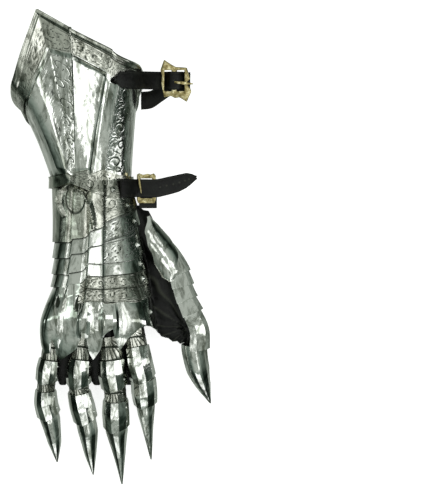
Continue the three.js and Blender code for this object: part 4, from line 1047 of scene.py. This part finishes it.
# The glove.
PALM = [(-0.26, 0.18), (0, 0.14), (0.26, 0.16)]
GLOVE_GAP = PLATE + CLEARANCE
PALM_STATIONS = [-0.08, 0, 0.1, 0.2, 0.33, 0.45, 0.58, 0.7, 0.79, 0.88, 0.935]
WEB = [
    (0.42, -0.66, 0.42, 0.09, 0.12), (0.58, -0.36, 0.42, 0.15, 0.135), (0.65, -0.18, 0.42, 0.18, 0.135),
    (0.68, -0.03, 0.415, 0.195, 0.125), (0.71, 0.06, 0.40, 0.17, 0.1),
    (0.78, 0.115, 0.385, 0.12, 0.085), (0.855, 0.145, 0.37, 0.06, 0.05),
]


# The folds of the web: they fan out from a pivot at the thumb, beyond an edge.
FOLD_PIVOT, WEB_EDGE = Vector((92, -148, 30)), Vector((44, -60))
FOLDS, FOLD_HEIGHT, RUMPLE, GLOVE_VOXEL = 15, 1.1, 0.35, 1.7
# The leather between two fingers, in mm, and where it ends.
FORK_BREADTH, FORK_HEIGHT, FORK_DROP, FORK_END = 9.0, 5.5, 9.0, 0.4


def closed_tube(bm, rings):
    """A closed body through rings of points, made from one wrapped grid."""
    sides = len(rings[0])
    sheet(bm, list(range(sides + 1)), list(range(len(rings))), lambda a, row, _: rings[row][a % sides])


def palm_ring(y):
    sunk = GLOVE_GAP + (FLUTE_HEIGHT / 2 if y > 0 else 0)
    ring = [arm_point(at, y, -sunk, 0) for at in spaced(LAST_LINE, 0, 34)]
    t = clamp(-y / (KNUCKLE_LINE * HAND_LENGTH))
    breadth, depth = lerp(WRIST_BREADTH, HAND_BREADTH, t), lerp(WRIST_DEPTH, HAND_DEPTH, t)
    return ring + [Vector((x * breadth, y, z * depth)) for x, z in PALM]


def body_of_rings(name, rings):
    bm = new_mesh()
    closed_tube(bm, rings)
    bmesh.ops.remove_doubles(bm, verts=bm.verts, dist=0.01)
    bmesh.ops.holes_fill(bm, edges=[edge for edge in bm.edges if edge.is_boundary], sides=0)
    bmesh.ops.recalc_face_normals(bm, faces=bm.faces)
    mesh = bpy.data.meshes.new(name)
    bm.to_mesh(mesh)
    bm.free()
    return mesh


def build_glove():
    stations = [GLOVE_SLEEVE + 6, GLOVE_SLEEVE]
    stations += [-down * HAND_LENGTH for down in knots(PALM_STATIONS, 2)]
    bodies = [body_of_rings("palm", [palm_ring(y) for y in stations])]
    web = []
    for row in knots(range(len(WEB)), 3):
        first, share = between_rows(WEB, row)
        x, reach, z, half, deep = blend(WEB[first], WEB[first + 1], share)
        web.append([
            Vector((
                x * HAND_BREADTH + half * HAND_BREADTH * math.cos(turn), reach_y(reach),
                z * HAND_DEPTH + deep * HAND_DEPTH * math.sin(turn),
            )) for turn in (2 * math.pi * i / 24 for i in range(24))
        ])
    bodies.append(body_of_rings("web", web))
    for name, digit in DIGITS.items():
        claw = THUMB_CLAW if name == "thumb" else FINGER_PLATES[name][4]
        start = AXES[name][0][1]
        rings = []
        for reach in [*spaced(start, claw, 16), claw + (CUP_DEPTH - 3) / FINGER_REACH]:
            t = digit.station(reach)
            radius = (digit.radius(t) + SKIN) * (1 if reach <= claw else 0.6)
            rings.append([digit.point(t, turn, radius) for turn in range(0, 360, 18)])
        bodies.append(body_of_rings(name, rings))
    names = list(FINGER_PLATES)
    for one, other in zip(names, names[1:]):
        rings = []
        for reach in spaced(-0.1, FORK_END, 8):
            a, b = (DIGITS[name] for name in (one, other))
            near, far = curve_point(a.points, a.station(reach)), curve_point(b.points, b.station(reach))
            centre = (near + far) / 2 - Vector((0, 0, FORK_DROP))
            ends = 1 - clamp((reach - FORK_END + 0.06) / 0.06) * 0.6
            rings.append([
                centre + ends * Vector((FORK_BREADTH * math.cos(turn), 0, FORK_HEIGHT * math.sin(turn)))
                for turn in (2 * math.pi * i / 20 for i in range(20))
            ])
        bodies.append(body_of_rings("fork", rings))
    bm = bmesh.new()
    for mesh in bodies:
        bm.from_mesh(mesh)
        bpy.data.meshes.remove(mesh)
    mesh = bpy.data.meshes.new("glove_bodies")
    bm.to_mesh(mesh)
    bm.free()
    blank_form = bpy.data.objects.new("glove_bodies", mesh)
    bpy.context.scene.collection.objects.link(blank_form)
    remesh = blank_form.modifiers.new("skin", "REMESH")
    remesh.mode, remesh.voxel_size = "VOXEL", GLOVE_VOXEL
    ease = blank_form.modifiers.new("ease", "SMOOTH")
    ease.iterations, ease.factor = 3, 0.5
    bm = new_mesh()
    skin = applied(blank_form)
    bm.from_mesh(skin)
    bpy.data.objects.remove(blank_form)
    bpy.data.meshes.remove(mesh)
    bpy.data.meshes.remove(skin)
    bmesh.ops.bisect_plane(
        bm, geom=[*bm.verts, *bm.edges, *bm.faces], plane_co=(0, GLOVE_SLEEVE, 0), plane_no=(0, 1, 0),
        clear_outer=True,
    )
    bm.normal_update()
    cut_and_painted_light = bm.verts.layers.float["cut_and_painted_light"]
    moves = []
    for vert in bm.verts:
        fold = 0.0
        if vert.co.x > WEB_EDGE.x and vert.co.y < WEB_EDGE.y:
            away = vert.co - FOLD_PIVOT
            angle = math.atan2(away.y, away.x)
            wave = math.sin(angle * FOLDS + 1.5 * noise.noise(vert.co * 0.06))
            near = clamp((vert.co.x - WEB_EDGE.x) / 8) * clamp((WEB_EDGE.y - vert.co.y) / 25)
            fold = near * (wave ** 3 if wave > 0 else -0.9 * abs(wave) ** 1.5)
        rumple = noise.noise(vert.co * 0.11) * RUMPLE
        moves.append((vert, vert.normal * (fold * FOLD_HEIGHT - RUMPLE + rumple)))
        # Painted highlight: the ridges of the folds are greyed.
        vert[cut_and_painted_light] = clamp(fold * 0.8)
    for vert, move in moves:
        vert.co += move
    finish_piece(bm, "stitched_glove", "black_leather", ["glove"], LEATHER * 0.7, bevel=0, crisp=60)


# Straps and buckles.
CUFF_BUCKLE = (0.645, 0.585, 0.475)
BARS = [(-0.78, -0.58, False), (-0.22, 0.05, True), (0.42, 0.62, False)]
# The strap's leaf-shaped end: place over the cuff and share of the width.
STRAP_LEAF = [
    (0.165, 0.08), (0.185, 0.55), (0.215, 0.95), (0.24, 0.8), (0.265, 1), (0.3, 1), (0.335, 1),
]
STRAP_SEAT = PLATE + CLEARANCE + ROLL_HEIGHT + CLEARANCE + STRAP_THICKNESS
STRAP_BEND = (0.43, 0.57)
RETURN_PATH = [
    (0.36, -0.16, 0.27), (0.44, -0.15, 0.31), (0.52, -0.1, 0.36), (0.6, -0.05, 0.395),
    (0.7, -0.02, 0.41), (0.76, 0, 0.415),
]
WRIST_STRAP_SEAT = PLATE + 4 * CLEARANCE + LAME_RISE / 2 + STRAP_THICKNESS
WRIST_SEATS = (0.33, 0.39)
WRIST_STRAP_PATH = [
    (0.54, 0, 0.7, 1), (0.6, 0, 0.695, 1), (0.78, 0, 0.69, 1.02), (0.92, 0.03, 0.66, 1.02),
    (1.06, 0.065, 0.635, 0.98), (1.16, 0.1, 0.62, 0.85), (1.24, 0.125, 0.61, 0.5),
    (1.29, 0.14, 0.605, 0.06),
]


WRIST_TAB_DROP, WRIST_TAB_WIDTH = 0.138, 1.03
WRIST_TAB_ROWS = [(0.55, 0.597), (0.62, 0.597), (0.7, 0.595), (0.78, 0.59)]
STITCH_DEPTH = 0.45


def strap_place(rows):
    """A strap through rows of a middle point and a width in mm. a runs along, t across."""
    points = [Vector(row[0]) for row in rows]
    last = len(rows) - 1

    def place(across, a, extra=0):
        point = curve_point(points, a / last)
        first, share = between_rows(rows, a)
        half = lerp(rows[first][1], rows[first + 1][1], share) / 2
        along = curve_tangent(points, clamp(a / last, 0.001, 0.999))
        up = along.cross(Vector((0, 1, 0))).normalized()
        if up.z < 0:
            up.negate()
        crown = 0.35 * (1 - across * across)
        return point + Vector((0, across * half, 0)) + up * (extra - 0.35 + crown)
    return place


def build_strap(name, node, rows, holes=()):
    place = strap_place(rows)

    def cut(across, a):
        edge = groove((abs(abs(across) - 0.8)) * 9, 0.7) * 0.55
        for along, side in holes:
            distance = (place(across, a) - place(side, along)).length
            if distance < 1.6:
                edge = max(edge, 0.2, groove(distance, 1.6))
        return edge

    bm = new_mesh()
    last = len(rows) - 1
    sheet(
        bm, spaced(0, last, last * 10), spaced(1, -1, 26),
        lambda a, across, lift: place(across, a, lift), lambda a, across: cut(across, a), STITCH_DEPTH,
    )
    finish_piece(bm, name, "black_leather", [node], STRAP_THICKNESS, bevel=0.5, crisp=60)


def build_straps():
    x, y, z = CUFF_BUCKLE[0] * CUFF_BREADTH, CUFF_BUCKLE[1] * CUFF_LENGTH, CUFF_BUCKLE[2] * CUFF_DEPTH
    rows = []
    for share, width in STRAP_LEAF:
        point = surface_at(share * CUFF_BREADTH, y, STRAP_SEAT)
        rows.append(((point.x, y, point.z), width * STRAP_WIDTH))
    rows.append(((STRAP_BEND[0] * CUFF_BREADTH, y, STRAP_BEND[1] * CUFF_DEPTH), STRAP_WIDTH))
    for start, end, over in BARS:
        height = z + BUCKLE_THICKNESS + CLEARANCE + STRAP_THICKNESS if over else z - CLEARANCE
        past = STRAP_THICKNESS / 2 if over else 0
        rows.append(((x + start * CUFF_BUCKLE_SIZE - past, y, height), STRAP_WIDTH))
        rows.append(((x + end * CUFF_BUCKLE_SIZE + past, y, height), STRAP_WIDTH))
    build_strap("leaf_ended_cuff_strap", "cuff_strap", rows, [(10.5, 0)])
    rows = [
        ((u * CUFF_BREADTH, y + v * CUFF_BREADTH, w * CUFF_DEPTH), STRAP_WIDTH)
        for u, v, w in RETURN_PATH
    ]
    build_strap("returning_cuff_strap", "cuff_strap_return", rows)
    y = WRIST_STRAP_Y * WRIST_BREADTH
    rows = []
    for share in WRIST_SEATS:
        point = surface_at(share * WRIST_BREADTH, y, WRIST_STRAP_SEAT)
        rows.append(((point.x, y, point.z), STRAP_WIDTH))
    for u, v, w, width in WRIST_STRAP_PATH:
        rows.append(((u * WRIST_BREADTH, y + v * WRIST_BREADTH, w * WRIST_DEPTH), width * STRAP_WIDTH))
    low, width = y - WRIST_TAB_DROP * WRIST_BREADTH, WRIST_TAB_WIDTH * STRAP_WIDTH
    tab = [((u * WRIST_BREADTH, low, w * WRIST_DEPTH), width) for u, w in WRIST_TAB_ROWS]
    build_strap("hanging_wrist_tab", "wrist_strap_tab", tab)
    holes = [(a, 0.05) for a in (4.3, 4.9, 5.5, 6.1, 6.8, 7.4)]
    build_strap("pointed_wrist_strap", "wrist_strap", rows, holes)


def build_buckle(name, node, width):
    """A cast frame from its node's own form, with every arris filed round."""
    bm = new_mesh()
    bm.from_mesh(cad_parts[node].data)
    bmesh.ops.remove_doubles(bm, verts=bm.verts, dist=1e-5)
    bmesh.ops.dissolve_limit(
        bm, angle_limit=math.radians(1), verts=bm.verts, edges=bm.edges, use_dissolve_boundaries=False,
    )
    sharp = [edge for edge in bm.edges if len(edge.link_faces) == 2 and edge.calc_face_angle() > 0.6]
    bmesh.ops.bevel(
        bm, geom=sharp, offset=width * MM, offset_type="OFFSET", segments=3, profile=0.5,
        affect="EDGES", material=-1, clamp_overlap=True,
    )
    bmesh.ops.transform(bm, matrix=INTO_FRAME.inverted(), verts=bm.verts)
    finish_piece(bm, name, "brass", [node], bevel=0, crisp=30)


def build_buckles():
    build_buckle("cusped_cuff_buckle", "cuff_buckle", 0.75)
    build_buckle("plain_wrist_buckle", "wrist_buckle", 0.7)
    build_buckle("cuff_buckle_tongue", "cuff_buckle_prong", 0.45)
    build_buckle("wrist_buckle_tongue", "wrist_buckle_prong", 0.4)


# The stage.
# The middle of the picture, in mm from the wrist line, and the camera's height.
PICTURE = Vector((116, -70, 0))
CAMERA_HEIGHT, FRAMED = 9.0, 0.5
SUBJECT_HEIGHT = 0.05
# The panels of the overhead light: place, breadth, length and share of the power.
KEY_STRIPS = [
    (-0.36, -0.6, 0.34, 0.8, 0.15), (0.08, 0.44, 0.4, 0.62, 0.1), (0.43, -0.9, 0.13, 2.2, 0.14),
    (0.8, -0.6, 0.36, 2.6, 0.34),
]
KEY_HEIGHT = 1.7
# The other lights: place, size, share of the power and colour.
SIDE_LIGHTS = [
    ("front_panel", (0.1, -2.4, 0.8), (1.5, 1.0), 0.5, 0xFFFFFF),
    ("left_strip", (-1.5, 0.1, 1.2), (0.3, 1.6), 0.17, 0xF2FFF6),
    ("right_strip", (1.6, -0.1, 1.05), (0.5, 1.8), 0.5, 0xFFFFFF),
    ("cuff_strip", (0.1, 1.5, 1.1), (1.4, 0.25), 0.11, 0xFFFFFF),
]


def area_light(name, location, size, energy, target, color=0xFFFFFF):
    data = bpy.data.lights.new(name, "AREA")
    data.shape, data.size, data.size_y = "RECTANGLE", size[0], size[1]
    data.energy, data.color = energy, srgb(color)[:3]
    light = bpy.data.objects.new(name, data)
    light.location = location
    light.rotation_euler = (target - light.location).to_track_quat("-Z", "Y").to_euler()
    bpy.context.scene.collection.objects.link(light)


def build_stage():
    settings = bpy.context.scene.gauntlet_stage
    data = bpy.data.cameras.new("overhead_camera")
    data.sensor_width = 36
    data.lens = data.sensor_width * (CAMERA_HEIGHT - SUBJECT_HEIGHT) / FRAMED
    data.clip_end = 20
    camera = bpy.data.objects.new("overhead_camera", data)
    camera.location = PICTURE * MM + SHIFT
    camera.location.z = CAMERA_HEIGHT
    bpy.context.scene.collection.objects.link(camera)
    bpy.context.scene.camera = camera

    bm = bmesh.new()
    bmesh.ops.create_grid(bm, x_segments=4, y_segments=4, size=4)
    mesh = bpy.data.meshes.new("floor")
    bm.to_mesh(mesh)
    bm.free()
    floor = bpy.data.objects.new("floor", mesh)
    bpy.context.scene.collection.objects.link(floor)
    material, tree, shader = blank("white_paper")
    shader.inputs["Base Color"].default_value = (*settings.floor_color, 1)
    shader.inputs["Roughness"].default_value = 0.9
    shader.inputs["Emission Color"].default_value = (1, 1, 1, 1)
    shader.inputs["Emission Strength"].default_value = 0.8
    mesh.materials.append(material)

    floor.visible_glossy = False
    power = settings.key_power
    for number, (x, y, breadth, length, share) in enumerate(KEY_STRIPS):
        place, target = (x, y, KEY_HEIGHT), Vector((x, y, 0))
        area_light(f"key_strip_{number}", place, (breadth, length), power * share, target)
    for name, place, size, share, color in SIDE_LIGHTS:
        area_light(name, place, size, power * share, Vector((0, 0, SUBJECT_HEIGHT)), color)
    world = bpy.data.worlds.new("dim_room")
    bpy.context.scene.world = world
    world.use_nodes = True
    tree = world.node_tree
    background = tree.nodes["Background"]
    background.inputs["Strength"].default_value = settings.room_strength
    way = add_node(tree, "TexCoord").outputs["Generated"]
    height = add_node(tree, "SeparateXYZ", {"Vector": way}).outputs["Z"]
    level = add_node(tree, "MapRange", {"Value": height, "From Min": -1.0}).outputs[0]
    sky = ramp(tree, level, [
        (0.0, srgb(0xB4BAB2)), (0.38, srgb(0x4A564C)), (0.5, srgb(0x0C120E)), (0.58, srgb(0x27332B)),
        (0.72, srgb(0x7A867D)), (0.86, srgb(0xAEB4AC)),
    ])
    tree.links.new(sky, background.inputs["Color"])
    bpy.context.scene.view_settings.view_transform = "Standard"


# Add-on.
class GauntletPlateSettings(bpy.types.PropertyGroup):
    groove_depth: FloatProperty(
        name="Groove depth", description="Depth of the engraving", default=0.22 * MM, min=0, max=0.0008,
        unit="LENGTH",
    )
    groove_width: FloatProperty(
        name="Groove width", description="Breadth of one engraved line", default=1.05 * MM, min=0.0004,
        max=0.003, unit="LENGTH",
    )


class GauntletStageSettings(bpy.types.PropertyGroup):
    floor_color: FloatVectorProperty(
        name="Floor", description="Colour of the floor", subtype="COLOR", default=srgb(0xF4F5F3)[:3],
        min=0, max=1,
    )
    key_power: FloatProperty(
        name="Key light", description="Power that the lights share", default=10.5, min=0, unit="POWER",
    )
    room_strength: FloatProperty(
        name="Room light", description="Light of the room itself", default=1, min=0,
    )


class GauntletStep:
    """One step of the build, which runs its builders in turn"""
    builders = ()

    def execute(self, context):
        for build in self.builders:
            build()
        return {"FINISHED"}


class GAUNTLET_OT_stage(GauntletStep, bpy.types.Operator):
    """Sets up the camera, the lights and the floor"""
    bl_idname, bl_label = "gauntlet.stage", "Stage"
    builders = (build_stage,)


class GAUNTLET_OT_cuff(GauntletStep, bpy.types.Operator):
    """Builds the fluted cuff and its rolled, engraved border"""
    bl_idname, bl_label = "gauntlet.cuff", "Cuff"
    builders = (build_cuff,)


class GAUNTLET_OT_hand(GauntletStep, bpy.types.Operator):
    """Builds the wrist lame, the hooded plate, the lames of the hand and the knuckle plate"""
    bl_idname, bl_label = "gauntlet.hand", "Hand plates"
    builders = (build_wrist_lame, build_boss_plate, build_hand_lames, build_knuckle_plate)


class GAUNTLET_OT_fingers(GauntletStep, bpy.types.Operator):
    """Builds the plates and claws of the four fingers and of the thumb"""
    bl_idname, bl_label = "gauntlet.fingers", "Fingers and thumb"
    builders = (build_fingers, build_thumb)


class GAUNTLET_OT_rivets(GauntletStep, bpy.types.Operator):
    """Builds the domed rivets"""
    bl_idname, bl_label = "gauntlet.rivets", "Rivets"
    builders = (build_rivets,)


class GAUNTLET_OT_glove(GauntletStep, bpy.types.Operator):
    """Builds the leather glove"""
    bl_idname, bl_label = "gauntlet.glove", "Glove"
    builders = (build_glove,)


class GAUNTLET_OT_straps(GauntletStep, bpy.types.Operator):
    """Builds the straps and their brass buckles"""
    bl_idname, bl_label = "gauntlet.straps", "Straps and buckles"
    builders = (build_straps, build_buckles)


STEPS = (
    GAUNTLET_OT_stage, GAUNTLET_OT_cuff, GAUNTLET_OT_hand, GAUNTLET_OT_fingers, GAUNTLET_OT_rivets,
    GAUNTLET_OT_glove, GAUNTLET_OT_straps,
)


class GAUNTLET_PT_panel(bpy.types.Panel):
    """Lists the settings and the steps of the gauntlet"""
    bl_label, bl_idname = "Gauntlet", "GAUNTLET_PT_panel"
    bl_space_type, bl_region_type, bl_category = "VIEW_3D", "UI", "Gauntlet"

    def draw(self, context):
        scene = context.scene
        for group, keys in (
            (scene.gauntlet_plate, ("groove_depth", "groove_width")),
            (scene.gauntlet_stage, ("floor_color", "key_power", "room_strength")),
        ):
            for key in keys:
                self.layout.prop(group, key)
        for step in STEPS:
            self.layout.operator(step.bl_idname)


CLASSES = (GauntletPlateSettings, GauntletStageSettings, *STEPS, GAUNTLET_PT_panel)


def register():
    for cls in CLASSES:
        bpy.utils.register_class(cls)
    bpy.types.Scene.gauntlet_plate = PointerProperty(type=GauntletPlateSettings)
    bpy.types.Scene.gauntlet_stage = PointerProperty(type=GauntletStageSettings)


def unregister():
    del bpy.types.Scene.gauntlet_plate
    del bpy.types.Scene.gauntlet_stage
    for cls in reversed(CLASSES):
        bpy.utils.unregister_class(cls)


def main():
    register()
    bpy.ops.gauntlet.stage()
    bpy.ops.gauntlet.cuff()
    bpy.ops.gauntlet.hand()
    bpy.ops.gauntlet.fingers()
    bpy.ops.gauntlet.rivets()
    bpy.ops.gauntlet.glove()
    bpy.ops.gauntlet.straps()
    bpy.context.view_layer.update()


if __name__ == "__main__":
    main()
